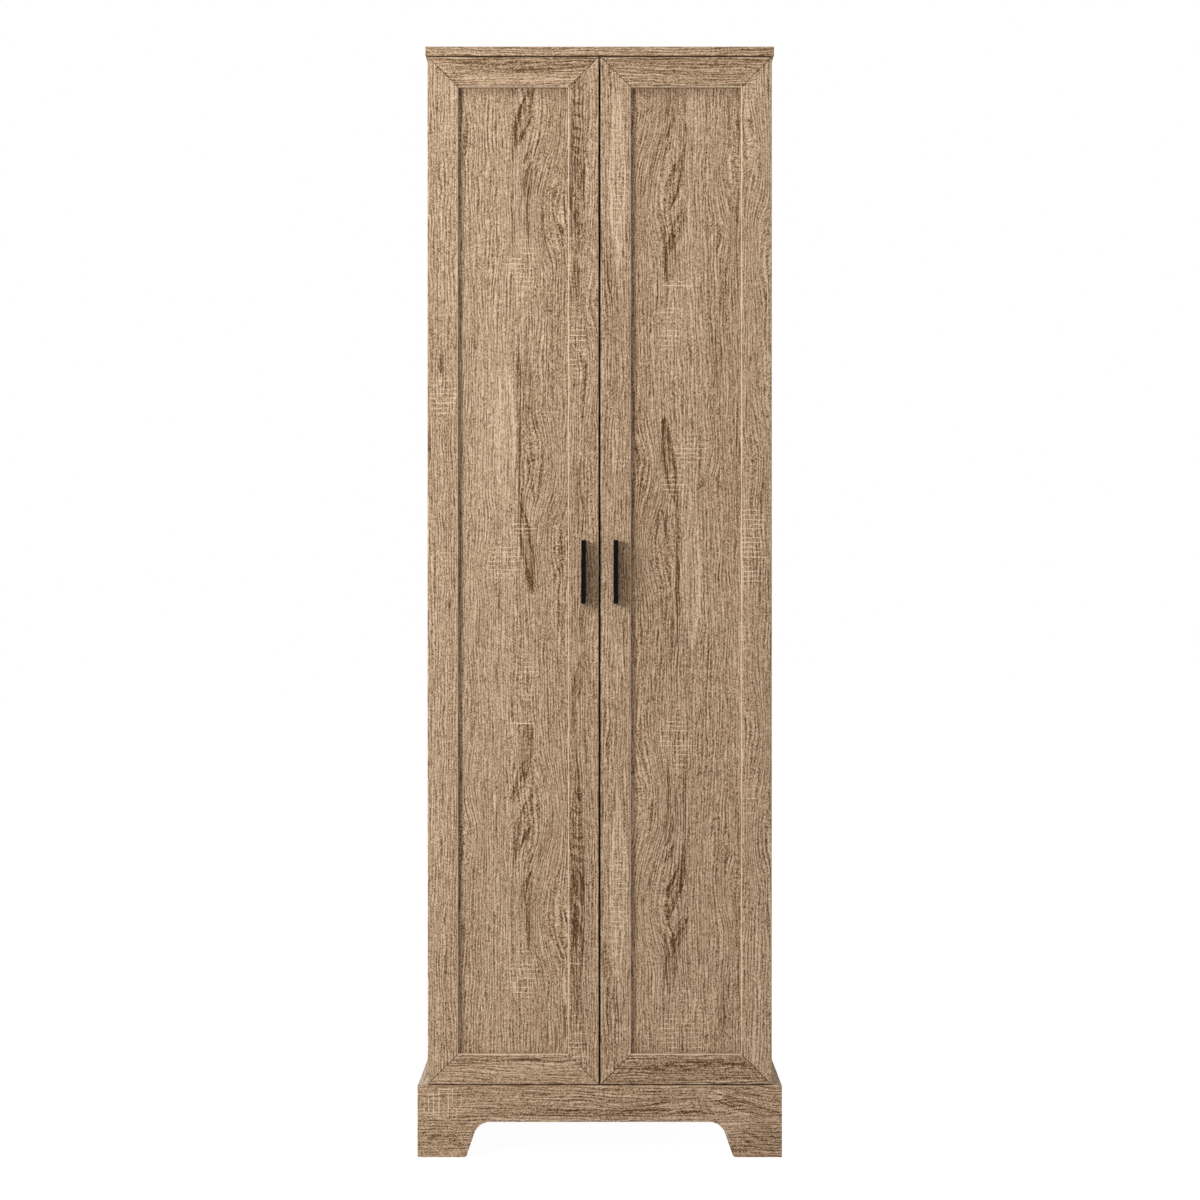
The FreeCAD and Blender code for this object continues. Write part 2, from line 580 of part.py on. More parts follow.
def add_hinge_plates(holes):
    """Mounting plates and hinge arms on the side panels, with their screws and pins."""
    wall_in = DOOR_X - INNER_X
    screw_back = DOOR_BACK_GAP + PLATE_SETBACK
    block_half = LINK_BREADTH / 2
    plate = box(
        (hinge_point(wall_in, 0).x, hinge_point(wall_in + PLATE_THICKNESS, 0).x),
        (hinge_point(0, screw_back - PLATE_WIDTH / 2).y, hinge_point(0, screw_back + PLATE_WIDTH / 2).y),
        (-PLATE_LENGTH / 2, PLATE_LENGTH / 2),
    )
    block = box(
        (hinge_point(wall_in, 0).x, hinge_point(ARM_BACK - ARM_WEB, 0).x),
        (hinge_point(0, ARM_END - PLATE_BLOCK_LENGTH).y, hinge_point(0, ARM_END).y),
        (-block_half, block_half),
    )
    plate = plate.fuse(block)

    screw_reach = PLATE_SCREW_LENGTH + PLATE_THICKNESS
    screw = (PLATE_SCREW_RADIUS, screw_reach, PLATE_SCREW_HEAD_RADIUS, PLATE_SCREW_HEAD)
    plate_screws = []
    for z in (-PLATE_SCREW_SPACING / 2, PLATE_SCREW_SPACING / 2):
        tip = hinge_point(wall_in - PLATE_SCREW_LENGTH, screw_back, z)
        plate_screws.append(headed_screw(tip, RIGHT, *screw))
        hole = screw_space(tip, RIGHT, *screw)
        plate = drilled(plate, [hole])
        for shape in at_levels(hole):
            add_holes(holes, "side_panel", shape)

    arm = make_arm()
    clamp_reach = CLAMP_SCREW_BITE + ARM_WEB + CLAMP_SCREW_HEAD
    clamp = (CLAMP_SCREW_RADIUS, clamp_reach, CLAMP_SCREW_HEAD_RADIUS, CLAMP_SCREW_HEAD)
    clamp_back = ARM_END - PLATE_BLOCK_LENGTH / 4
    tip = hinge_point(ARM_BACK - ARM_WEB - CLAMP_SCREW_BITE, clamp_back)
    clamp_screw = headed_screw(tip, RIGHT, *clamp)
    clamp_length = CLAMP_SCREW_BITE + ARM_WEB + 2 * HOLE_CLEARANCE
    clamp_hole = rod(tip - RIGHT * HOLE_CLEARANCE, RIGHT, CLAMP_SCREW_RADIUS + HOLE_CLEARANCE, clamp_length)
    arm = drilled(arm, [clamp_hole])
    plate = drilled(plate, [clamp_hole])

    nodes["hinge_plates"] = with_mirrors(at_levels(plate))
    nodes["hinge_plate_screws"] = with_mirrors([copy for one in plate_screws for copy in at_levels(one)])
    nodes["hinge_arms"] = with_mirrors(at_levels(arm))
    nodes["hinge_clamp_screws"] = with_mirrors(at_levels(clamp_screw))
    nodes["hinge_arm_pins"] = with_mirrors(at_levels(hinge_pin(ARM_PIN_IN, ARM_PIN_BACK, cheek_half())))


def cheek_half():
    """Half the breadth over the cheeks of the hinge arm."""
    return LINK_BREADTH / 2 + CHEEK_GAP + CHEEK


def hinge_pin(inward, back, half):
    return rod(hinge_point(inward, back, -half), UP, HINGE_PIN_RADIUS, 2 * half)


def make_arm():
    """Channel-shaped arm that leaves its plate, bends forward and dips its nose into the cup."""
    half = cheek_half()
    nose_right = ARM_PIN_IN + NOSE_RADIUS
    nose_left = ARM_PIN_IN - NOSE_RADIUS
    bend_back = 15.0
    neck = [
        (nose_right, ARM_PIN_BACK), (nose_right - 1.5, 3.0), (ARM_BACK + 3.0, bend_back - 5.0),
        (ARM_BACK, bend_back), (ARM_BACK, ARM_END), (ARM_UNDER, ARM_END), (ARM_UNDER, bend_back - 1.0),
        (ARM_UNDER + 3.5, bend_back - 7.0), (nose_left - 1.5, 2.0), (nose_left, ARM_PIN_BACK),
    ]
    body = prism([hinge_point(u, v, -half) for u, v in neck], UP * (2 * half))
    body = body.fuse(rod(hinge_point(ARM_PIN_IN, ARM_PIN_BACK, -half), UP, NOSE_RADIUS, 2 * half))
    inside = half - CHEEK
    far_left = ARM_UNDER - ARM_PIN_IN
    far_front = ARM_PIN_BACK - 2 * NOSE_RADIUS
    channel = [
        (far_left, far_front), (nose_right + 1.0, far_front), (nose_right + 1.0, 2.0),
        (nose_right - 3.0, 2.0), (nose_right - 3.2, 3.0), (ARM_BACK + 3.0 - ARM_WEB, bend_back - 5.5),
        (ARM_BACK - ARM_WEB, bend_back - 0.5), (ARM_BACK - ARM_WEB, ARM_END + 1.0), (far_left, ARM_END + 1.0),
    ]
    hollow = prism([hinge_point(u, v, -inside) for u, v in channel], UP * (2 * inside))
    pin_start = hinge_point(ARM_PIN_IN, ARM_PIN_BACK, -half)
    pin_hole = rod(pin_start, UP, HINGE_PIN_RADIUS + HINGE_PIN_RUNNING, 2 * half)
    return drilled(body, [hollow, pin_hole])


def make_links():
    """Links that join the arms to the cups, free on both pins."""
    half = LINK_BREADTH / 2
    ends = [(ARM_PIN_IN, ARM_PIN_BACK), (CUP_PIN_IN, CUP_PIN_BACK)]
    start, finish = [hinge_point(u, v, -half) for u, v in ends]
    along = (finish - start).normalize()
    across = along.cross(UP) * LINK_HALF_WIDTH
    link = prism([start + across, finish + across, finish - across, start - across], UP * (2 * half))
    for end in (start, finish):
        link = link.fuse(rod(end, UP, LINK_HALF_WIDTH, 2 * half))
    link = link.removeSplitter()
    bores = [rod(end, UP, HINGE_PIN_RADIUS + HINGE_PIN_RUNNING, 2 * half) for end in (start, finish)]
    links = at_levels(drilled(link, bores))
    nodes["hinge_links_left"] = links
    nodes["hinge_links_right"] = [mirrored(link) for link in links]


def make_cup():
    """Hinge cup with its flange, the two lugs that hold the link's pin, and its two screws."""
    centre = CUP_EDGE + CUP_RADIUS
    floor = hinge_point(centre, -CUP_DEPTH)
    rim = hinge_point(centre, 0)
    wing_low = centre + CUP_SCREW_OFFSET - FLANGE_WIDTH / 2
    wing = box(
        (hinge_point(wing_low, 0).x, hinge_point(wing_low + FLANGE_WIDTH, 0).x),
        (DOOR_BACK_Y, DOOR_BACK_Y + FLANGE_THICKNESS),
        (-FLANGE_LENGTH / 2, FLANGE_LENGTH / 2),
    )
    wing = wing.makeFillet(FLANGE_WIDTH / 3, edges_along(wing, BACKWARD))
    bowl = rod(floor, BACKWARD, CUP_RADIUS, CUP_DEPTH)
    bowl = bowl.fuse([rod(rim, BACKWARD, CUP_RADIUS + CUP_RIM, FLANGE_THICKNESS), wing])
    inner_radius = CUP_RADIUS - CUP_WALL
    hollow = rod(floor + BACKWARD * CUP_WALL, BACKWARD, inner_radius, CUP_DEPTH + FLANGE_THICKNESS)
    cup = drilled(bowl, [hollow])

    lug_low = LINK_BREADTH / 2 + CHEEK_GAP
    lug_x = (hinge_point(CUP_PIN_IN - LUG_HALF_WIDTH, 0).x, hinge_point(CUP_PIN_IN + LUG_HALF_WIDTH, 0).x)
    lug_y = (hinge_point(0, CUP_WALL / 2 - CUP_DEPTH).y, DOOR_BACK_Y)
    lugs = [box(lug_x, lug_y, (low, low + LUG)) for low in (lug_low, -lug_low - LUG)]
    cup = cup.fuse(lugs)
    pin_half = lug_low + LUG
    pin_start = hinge_point(CUP_PIN_IN, CUP_PIN_BACK, -pin_half)
    cup = drilled(cup, [rod(pin_start, UP, HINGE_PIN_RADIUS + HINGE_PIN_RUNNING, 2 * pin_half)])
    boring = rod(floor - BACKWARD * HOLE_CLEARANCE, BACKWARD, CUP_RADIUS + HOLE_CLEARANCE, CUP_DEPTH + 1)

    screw = (CUP_SCREW_RADIUS, CUP_SCREW_LENGTH + FLANGE_THICKNESS, CUP_SCREW_HEAD_RADIUS, CUP_SCREW_HEAD)
    screws = []
    spaces = []
    for z in (-CUP_SCREW_SPACING / 2, CUP_SCREW_SPACING / 2):
        tip = hinge_point(centre + CUP_SCREW_OFFSET, -CUP_SCREW_LENGTH, z)
        screws.append(headed_screw(tip, BACKWARD, *screw))
        spaces.append(screw_space(tip, BACKWARD, *screw))
    return drilled(cup, spaces), hinge_pin(CUP_PIN_IN, CUP_PIN_BACK, pin_half), screws, [boring] + spaces


def edges_along(shape, direction):
    """Straight edges of a shape that run along direction."""
    chosen = []
    for edge in shape.Edges:
        ends = [vertex.Point for vertex in edge.Vertexes]
        if len(ends) == 2 and (ends[1] - ends[0]).cross(direction).Length < 1e-6:
            chosen.append(edge)
    return chosen


def frame_piece(points, outer, inner):
    """Mitred stile or rail of a door, its two long front edges eased. outer and inner name their lines."""
    piece = prism([V(x, FRONT_Y, z) for x, z in points], BACKWARD * DOOR_THICKNESS)
    front = []
    for axis, value in (outer, inner):
        for edge in edges_on(piece, axis, value):
            if all(abs(vertex.Point.y - FRONT_Y) < 1e-6 for vertex in edge.Vertexes):
                front.append(edge)
    return piece.makeFillet(FRAME_EASE, front)


def mitre_groove(corner, diagonal):
    """Tool for the fine groove along a mitre on the door's face, from the corner inwards."""
    along = V(diagonal).normalize()
    across = along.cross(BACKWARD)
    start = corner - along * DOOR_THICKNESS
    arms = (across, BACKWARD, across * -1, FORWARD)
    length = FRAME_WIDTH * math.sqrt(2) + 2 * DOOR_THICKNESS
    return prism([start + arm * MITRE_GROOVE for arm in arms], along * length)


def make_door():
    """Left door, hinged at its outer edge. Returns its pieces by name."""
    out_x, in_x = -DOOR_X, -DOOR_INNER_X
    low, high = DOOR_LOW_Z, DOOR_HIGH_Z
    out_i, in_i = out_x + FRAME_WIDTH, in_x - FRAME_WIDTH
    low_i, high_i = low + FRAME_WIDTH, high - FRAME_WIDTH
    pieces = {
        "hinge_stile": frame_piece(
            [(out_x, low), (out_i, low_i), (out_i, high_i), (out_x, high)], ("x", out_x), ("x", out_i)),
        "handle_stile": frame_piece(
            [(in_x, low), (in_i, low_i), (in_i, high_i), (in_x, high)], ("x", in_x), ("x", in_i)),
        "top_rail": frame_piece(
            [(out_x, high), (in_x, high), (in_i, high_i), (out_i, high_i)], ("z", high), ("z", high_i)),
        "bottom_rail": frame_piece(
            [(out_x, low), (in_x, low), (in_i, low_i), (out_i, low_i)], ("z", low), ("z", low_i)),
    }
    reach = GROOVE_DEPTH - PANEL_PLAY
    panel_y = (FRONT_Y + PANEL_RECESS, FRONT_Y + PANEL_RECESS + PANEL_THICKNESS)
    pieces["panel"] = box((out_i - reach, in_i + reach), panel_y, (low_i - reach, high_i + reach))
    groove = box(
        (out_i - GROOVE_DEPTH, in_i + GROOVE_DEPTH),
        (panel_y[0] - GROOVE_CLEARANCE, panel_y[1] + GROOVE_CLEARANCE),
        (low_i - GROOVE_DEPTH, high_i + GROOVE_DEPTH),
    )
    tools = {name: [groove] for name in ("hinge_stile", "handle_stile", "top_rail", "bottom_rail")}

    pieces["corner_dowels"] = []
    dowel_y = FRONT_Y + DOOR_THICKNESS / 2
    dowel_in = FRAME_WIDTH / 3
    for stile, corner_x, turn_x in (("hinge_stile", out_x, 1), ("handle_stile", in_x, -1)):
        for rail, corner_z, turn_z in (("bottom_rail", low, 1), ("top_rail", high, -1)):
            mitre = mitre_groove(V(corner_x, FRONT_Y, corner_z), V(turn_x, 0, turn_z))
            tools[stile].append(mitre)
            tools[rail].append(mitre)
            along = V(turn_x, 0, -turn_z).normalize()
            middle = V(corner_x + turn_x * dowel_in, dowel_y, corner_z + turn_z * dowel_in)
            start = middle - along * (MITRE_DOWEL_LENGTH / 2)
            pieces["corner_dowels"].append(rod(start, along, MITRE_DOWEL_RADIUS, MITRE_DOWEL_LENGTH))
            spare = start - along * HOLE_CLEARANCE
            length = MITRE_DOWEL_LENGTH + 2 * HOLE_CLEARANCE
            hole = rod(spare, along, MITRE_DOWEL_RADIUS + HOLE_CLEARANCE, length)
            tools[stile].append(hole)
            tools[rail].append(hole)

    handle, handle_screws, handle_holes = make_handle(in_x - FRAME_WIDTH / 2)
    pieces["handle"] = handle
    pieces["handle_screws"] = handle_screws
    tools["handle_stile"] += handle_holes

    cup, pin, screws, spaces = make_cup()
    pieces["hinge_cups"] = at_levels(cup)
    pieces["hinge_cup_pins"] = at_levels(pin)
    pieces["hinge_cup_screws"] = [copy for screw in screws for copy in at_levels(screw)]
    for space in spaces:
        tools["hinge_stile"] += at_levels(space)

    strike_x = (in_x - STRIKE_INSET - STRIKE_SIZE, in_x - STRIKE_INSET)
    strike_z = (high - STRIKE_DROP - STRIKE_SIZE, high - STRIKE_DROP)
    pieces["strike_plate"] = box(strike_x, (DOOR_BACK_Y, DOOR_BACK_Y + STRIKE_THICKNESS), strike_z)
    bumper_centre = V(in_x - BUMPER_INSET, DOOR_BACK_Y, MIDDLE_Z)
    bumper = rod(bumper_centre, BACKWARD, BUMPER_RADIUS, BUMPER_THICKNESS)
    bumper_rim = edges_on(bumper, "y", DOOR_BACK_Y + BUMPER_THICKNESS)
    pieces["bumper"] = bumper.makeFillet(BUMPER_THICKNESS / 2, bumper_rim)

    for name, cuts in tools.items():
        pieces[name] = drilled(pieces[name], cuts)
    return pieces


def make_handle(x):
    """Slim fin pull with a finger groove in each side, and the two screws that hold it from behind the stile."""
    half_width = HANDLE_WIDTH / 2
    half_length = HANDLE_HOLE_SPACING / 2 + HANDLE_END
    front = FRONT_Y - HANDLE_PROJECTION
    low, high = HANDLE_MIDDLE_Z - half_length, HANDLE_MIDDLE_Z + half_length
    handle = box((x - half_width, x + half_width), (front, FRONT_Y), (low, high))
    handle = handle.makeFillet(HANDLE_EASE, edges_on(handle, "y", front))
    grip_y = (front + GRIP_FRONT, front + GRIP_FRONT + GRIP_HEIGHT)
    grip_z = (low + GRIP_END, high - GRIP_END)
    for side in (-1, 1):
        inner = x + side * (half_width - GRIP_DEPTH)
        outer = x + side * (half_width + GRIP_DEPTH)
        grip = box(sorted((inner, outer)), grip_y, grip_z)
        handle = handle.cut(grip.makeFillet(GRIP_ROUND, edges_on(grip, "x", inner)))

    screws = []
    holes = []
    length = HANDLE_SCREW_BITE + DOOR_THICKNESS + HANDLE_SCREW_HEAD
    head = (HANDLE_SCREW_HEAD_RADIUS, HANDLE_SCREW_HEAD)
    for z in (HANDLE_MIDDLE_Z - HANDLE_HOLE_SPACING / 2, HANDLE_MIDDLE_Z + HANDLE_HOLE_SPACING / 2):
        tip = V(x, FRONT_Y - HANDLE_SCREW_BITE, z)
        screws.append(headed_screw(tip, BACKWARD, HANDLE_SCREW_RADIUS, length, *head))
        bore = rod(tip - BACKWARD * HOLE_CLEARANCE, BACKWARD, HANDLE_SCREW_RADIUS + HOLE_CLEARANCE, length)
        holes.append(bore)
    return drilled(handle, holes), screws, holes


def make_doors():
    """The left door's pieces and their mirror images, named for their door."""
    for name, piece in make_door().items():
        solids = piece if isinstance(piece, list) else [piece]
        nodes["door_left_" + name] = solids
        nodes["door_right_" + name] = [mirrored(solid) for solid in solids]


def add_catch(holes):
    """Double magnetic catch under the top, behind the meeting edges of the doors, with its screws."""
    half = CATCH_WIDTH / 2
    depth = (CATCH_FRONT_Y, CATCH_FRONT_Y + CATCH_DEPTH)
    body = box((-half, half), depth, (TOP_Z - CATCH_HEIGHT, TOP_Z))
    ears = box((-half - CATCH_EAR, half + CATCH_EAR), depth, (TOP_Z - CATCH_EAR_THICKNESS, TOP_Z))
    catch = body.fuse(ears)
    screw = (SCREW_RADIUS, CATCH_SCREW_LENGTH, SCREW_HEAD_RADIUS, SCREW_HEAD)
    screws = []
    for x in (-half - CATCH_EAR / 2, half + CATCH_EAR / 2):
        tip = V(x, CATCH_FRONT_Y + CATCH_DEPTH / 2, TOP_Z - CATCH_EAR_THICKNESS + CATCH_SCREW_LENGTH)
        screws.append(headed_screw(tip, UP * -1, *screw))
        space = screw_space(tip, UP * -1, *screw)
        catch = drilled(catch, [space])
        holes["top_panel"].append(space)
    nodes["magnetic_catch"] = catch
    nodes["catch_screws"] = screws


def write_nodes():
    os.makedirs("parts", exist_ok=True)
    count = 0
    for name, piece in nodes.items():
        shapes = piece if isinstance(piece, list) else [piece]
        solids = [solid for shape in shapes for solid in shape.Solids]
        shape = solids[0] if len(solids) == 1 else Part.makeCompound(solids)
        shape.exportStep(os.path.join("parts", name + ".step"))
        count += len(solids)
    print(len(nodes), "nodes,", count, "solids")


make_carcass()
make_links()
make_doors()
write_nodes()
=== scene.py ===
import json
import math

import bpy
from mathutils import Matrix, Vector


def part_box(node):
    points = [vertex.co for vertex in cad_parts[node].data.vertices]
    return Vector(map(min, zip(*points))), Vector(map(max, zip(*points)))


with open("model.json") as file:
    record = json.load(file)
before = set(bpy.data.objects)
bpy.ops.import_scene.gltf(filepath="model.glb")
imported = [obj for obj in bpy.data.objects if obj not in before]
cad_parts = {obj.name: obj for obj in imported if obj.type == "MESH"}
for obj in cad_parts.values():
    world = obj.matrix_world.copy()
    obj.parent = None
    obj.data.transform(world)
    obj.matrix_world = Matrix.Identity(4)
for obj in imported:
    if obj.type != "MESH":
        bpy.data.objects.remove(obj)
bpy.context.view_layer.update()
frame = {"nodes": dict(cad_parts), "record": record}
NODES = frame["nodes"]

# The photograph's frame: metres to a pixel at the door faces, and places in pixels
PIXEL = 0.0016457
PHOTO_SIDE = 1200
PHOTO_CENTRE_X = 599.7
PHOTO_FLOOR_Y = 1158.5
CAMERA_DISTANCE = 3.4
SENSOR = 36.0
DOOR_FACE_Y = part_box("door_left_hinge_stile")[0].y


# Small helpers for node trees
def add_node(tree, kind, inputs=None, **settings):
    """New node with its settings, its input values and its links from other sockets."""
    made = tree.nodes.new(kind)
    for key, value in settings.items():
        setattr(made, key, value)
    for key, value in (inputs or {}).items():
        if isinstance(value, bpy.types.NodeSocket):
            tree.links.new(value, made.inputs[key])
        else:
            made.inputs[key].default_value = value
    return made


def calc(tree, operation, first, second=0.0, third=0.0):
    """One step of arithmetic."""
    made = add_node(tree, "ShaderNodeMath", {0: first, 1: second, 2: third}, operation=operation)
    return made.outputs[0]


def between(tree, value, none, full):
    """0 at none, 1 at full and a smooth change between them, whichever of the two is larger."""
    limits = {"Value": value, "From Min": none, "From Max": full}
    made = add_node(tree, "ShaderNodeMapRange", limits, interpolation_type="SMOOTHSTEP")
    return made.outputs["Result"]


def spread(tree, value, low, high, start=0.0, end=1.0):
    """Values from start to end, mapped straight onto low to high."""
    limits = {"Value": value, "From Min": start, "From Max": end, "To Min": low, "To Max": high}
    return add_node(tree, "ShaderNodeMapRange", limits).outputs["Result"]


def mix_colours(tree, factor, first, second):
    """Mix of two colours, for which the node has its sockets 6 and 7 and its output 2."""
    inputs = {"Factor": factor, 6: first, 7: second}
    return add_node(tree, "ShaderNodeMix", inputs, data_type="RGBA").outputs[2]


def split(tree, vector):
    """The X, Y and Z of a vector."""
    return add_node(tree, "ShaderNodeSeparateXYZ", {0: vector}).outputs


def add_vectors(tree, first, second):
    """Sum of two vectors."""
    return add_node(tree, "ShaderNodeVectorMath", {0: first, 1: second}, operation="ADD").outputs[0]


def length(tree, vector):
    """Length of a vector."""
    return add_node(tree, "ShaderNodeVectorMath", {0: vector}, operation="LENGTH").outputs["Value"]


def share(tree, vector, axis):
    """X or Z of a vector, as a dot product."""
    unit = {"X": (1.0, 0.0, 0.0), "Z": (0.0, 0.0, 1.0)}[axis]
    made = add_node(tree, "ShaderNodeVectorMath", {0: vector, 1: unit}, operation="DOT_PRODUCT")
    return made.outputs["Value"]


def object_place(tree):
    """Object coordinates, in metres."""
    return add_node(tree, "ShaderNodeTexCoord").outputs["Object"]


def ramp(tree, value, stops):
    """Colour ramp through (position, colour) stops."""
    made = add_node(tree, "ShaderNodeValToRGB", {"Fac": value})
    elements = made.color_ramp.elements
    while len(elements) < len(stops):
        elements.new(1.0)
    for element, (position, colour) in zip(elements, stops):
        element.position = position
        element.color = (*colour, 1.0)
    return made.outputs["Color"]


def noise(tree, vector, cells, seed, detail, roughness=0.5):
    """Noise with so many cells to a metre on each axis, moved by its seed."""
    start = (seed, seed * 0.7, seed * 1.3)
    placed = add_node(tree, "ShaderNodeMapping", {"Vector": vector, "Scale": cells, "Location": start})
    inputs = {"Vector": placed.outputs[0], "Scale": 1.0, "Detail": detail, "Roughness": roughness}
    return add_node(tree, "ShaderNodeTexNoise", inputs).outputs["Fac"]


def bump_normal(tree, height, strength, distance):
    """Normal bumped by a height."""
    made = add_node(tree, "ShaderNodeBump", {"Strength": strength, "Distance": distance, "Height": height})
    return made.outputs["Normal"]


def new_material(name):
    """Material with an empty node tree."""
    material = bpy.data.materials.new(name)
    material.use_nodes = True
    tree = material.node_tree
    tree.nodes.clear()
    return material, tree


def finish_surface(tree, inputs):
    """Principled shader with these inputs, as the material's surface."""
    shader = add_node(tree, "ShaderNodeBsdfPrincipled", inputs)
    add_node(tree, "ShaderNodeOutputMaterial", {"Surface": shader.outputs[0]})


# Oak print
OAK_TONES = [
    (0.00, (0.076, 0.038, 0.016)),
    (0.22, (0.200, 0.118, 0.062)),
    (0.50, (0.412, 0.284, 0.180)),
    (0.74, (0.550, 0.408, 0.278)),
    (1.00, (0.740, 0.580, 0.425)),
]
# Layers of noise: cells to a metre across the grain and along it, seed and detail
OAK_LAYERS = {
    "lean": (7.0, 1.6, 71.0, 2.0),
    "wave": (30.0, 11.0, 73.0, 1.0),
    "ring_spacing": (14.0, 0.5, 3.1, 1.0),
    "ring_presence": (26.0, 1.6, 17.0, 1.0),
    "broad": (9.0, 0.8, 31.0, 1.0),
    "bands": (48.0, 1.5, 37.0, 1.0),
    "line_jitter": (110.0, 15.0, 43.0, 1.0),
    "line_clearness": (60.0, 16.0, 47.0, 1.0),
    "long_fibre": (720.0, 13.0, 9.0, 0.0),
    "short_fibre": (800.0, 66.0, 13.0, 0.0),
    "grit": (900.0, 640.0, 5.0, 0.0),
    "pores": (600.0, 22.0, 27.0, 0.0),
    "streak": (230.0, 6.0, 21.7, 1.0),
    "chance_flame": (24.0, 2.6, 91.0, 2.0),
    "bar_wander": (5.0, 24.0, 41.0, 1.0),
    "bar_column": (34.0, 120.0, 61.0, 1.0),
    "ticks": (190.0, 32.0, 66.0, 0.0),
    "saw_chance": (11.0, 4.0, 51.0, 1.0),
}
# Where a layer begins to count and where it counts in full
OAK_LIMITS = {
    "ring_presence": (0.52, 0.74),
    "line_clearness": (0.36, 0.64),
    "pores": (0.64, 0.76),
    "streak": (0.36, 0.64),
    "chance_flame": (0.56, 0.72),
    "bar_column": (0.38, 0.48),
    "ticks": (0.66, 0.74),
    "saw_chance": (0.70, 0.80),
}
FLAME_ROUGHNESS = 0.6
# How far the grain is moved aside, in metres
LEAN_DRIFT = 0.040
WAVE_DRIFT = 0.0045
# Ring lines: rings to a metre, their wander in rings, and where in a ring its line darkens and ends
RINGS = 70.0
RING_WANDER = 7.0
RING_DARKENS = (0.70, 0.95)
RING_ENDS = (0.95, 1.0)
# Close fine lines: radians to a metre, jitter in radians, least strength and what clear places add
FINE_LINES = 1240.0
LINE_JITTER = 15.0
LINE_LEAST = 0.4
LINE_CLEAR = 0.7
# Flames: strength between their streaks and what the streaks add
FLAME_GROUND = 0.6
FLAME_STREAK = 0.7
# Saw marks: radians to a metre, wander in radians, a bar's edge in its sine, and strength of ticks and of
# chance marks
SAW_BARS = 820.0
BAR_WANDER = 7.0
BAR_EDGE = (0.62, 0.97)
TICK_STRENGTH = 0.25
CHANCE_SAW = 0.6
# Height of the short fibres beside the long ones
SHORT_HEIGHT = 0.5
# Strength of chance flames on boards that have none of their own
CHANCE_FIGURE = 0.8


def oak_layer(tree, board, name, roughness=0.5):
    """One layer of noise, cut off at its limits where it has any."""
    across, along, seed, detail = OAK_LAYERS[name]
    layer = noise(tree, board, (across, across, along), seed, detail, roughness)
    if name in OAK_LIMITS:
        layer = between(tree, layer, *OAK_LIMITS[name])
    return layer


def ring_lines(tree, board, across):
    """Thin ring lines that come and go."""
    wander = calc(tree, "MULTIPLY", oak_layer(tree, board, "ring_spacing"), RING_WANDER)
    phase = calc(tree, "FRACT", calc(tree, "MULTIPLY_ADD", across, RINGS, wander))
    line = calc(tree, "SUBTRACT", between(tree, phase, *RING_DARKENS), between(tree, phase, *RING_ENDS))
    return calc(tree, "MULTIPLY", line, oak_layer(tree, board, "ring_presence"))


def close_lines(tree, board, across):
    """Close fine lines, clearer in some places than in others."""
    jitter = calc(tree, "MULTIPLY", oak_layer(tree, board, "line_jitter"), LINE_JITTER)
    lines = calc(tree, "SINE", calc(tree, "MULTIPLY_ADD", across, FINE_LINES, jitter))
    clear = oak_layer(tree, board, "line_clearness")
    return calc(tree, "MULTIPLY", lines, calc(tree, "MULTIPLY_ADD", clear, LINE_CLEAR, LINE_LEAST))


def dark_heart(tree, board, given):
    """Flames streaked along the grain, and chance ones by Figure."""
    streak = oak_layer(tree, board, "streak")
    chance = oak_layer(tree, board, "chance_flame", FLAME_ROUGHNESS)
    flame = calc(tree, "MULTIPLY_ADD", chance, given["Figure"], given["Flame"])
    return calc(tree, "MULTIPLY", flame, calc(tree, "MULTIPLY_ADD", streak, FLAME_STREAK, FLAME_GROUND))


def saw_marks(tree, board, given):
    """Pale straight bars across the grain and short ticks along it, in patches."""
    straight = given["Board"]
    wander = calc(tree, "MULTIPLY", oak_layer(tree, straight, "bar_wander"), BAR_WANDER)
    wave = calc(tree, "SINE", calc(tree, "MULTIPLY_ADD", split(tree, straight)["Z"], SAW_BARS, wander))
    bars = calc(tree, "MULTIPLY", between(tree, wave, *BAR_EDGE), oak_layer(tree, straight, "bar_column"))
    ticks = calc(tree, "MULTIPLY", oak_layer(tree, straight, "ticks"), TICK_STRENGTH)
    chance = calc(tree, "MULTIPLY", oak_layer(tree, board, "saw_chance"), CHANCE_SAW)
    patch = calc(tree, "MAXIMUM", given["Saw"], chance)
    return calc(tree, "MULTIPLY", calc(tree, "MAXIMUM", bars, ticks), patch)


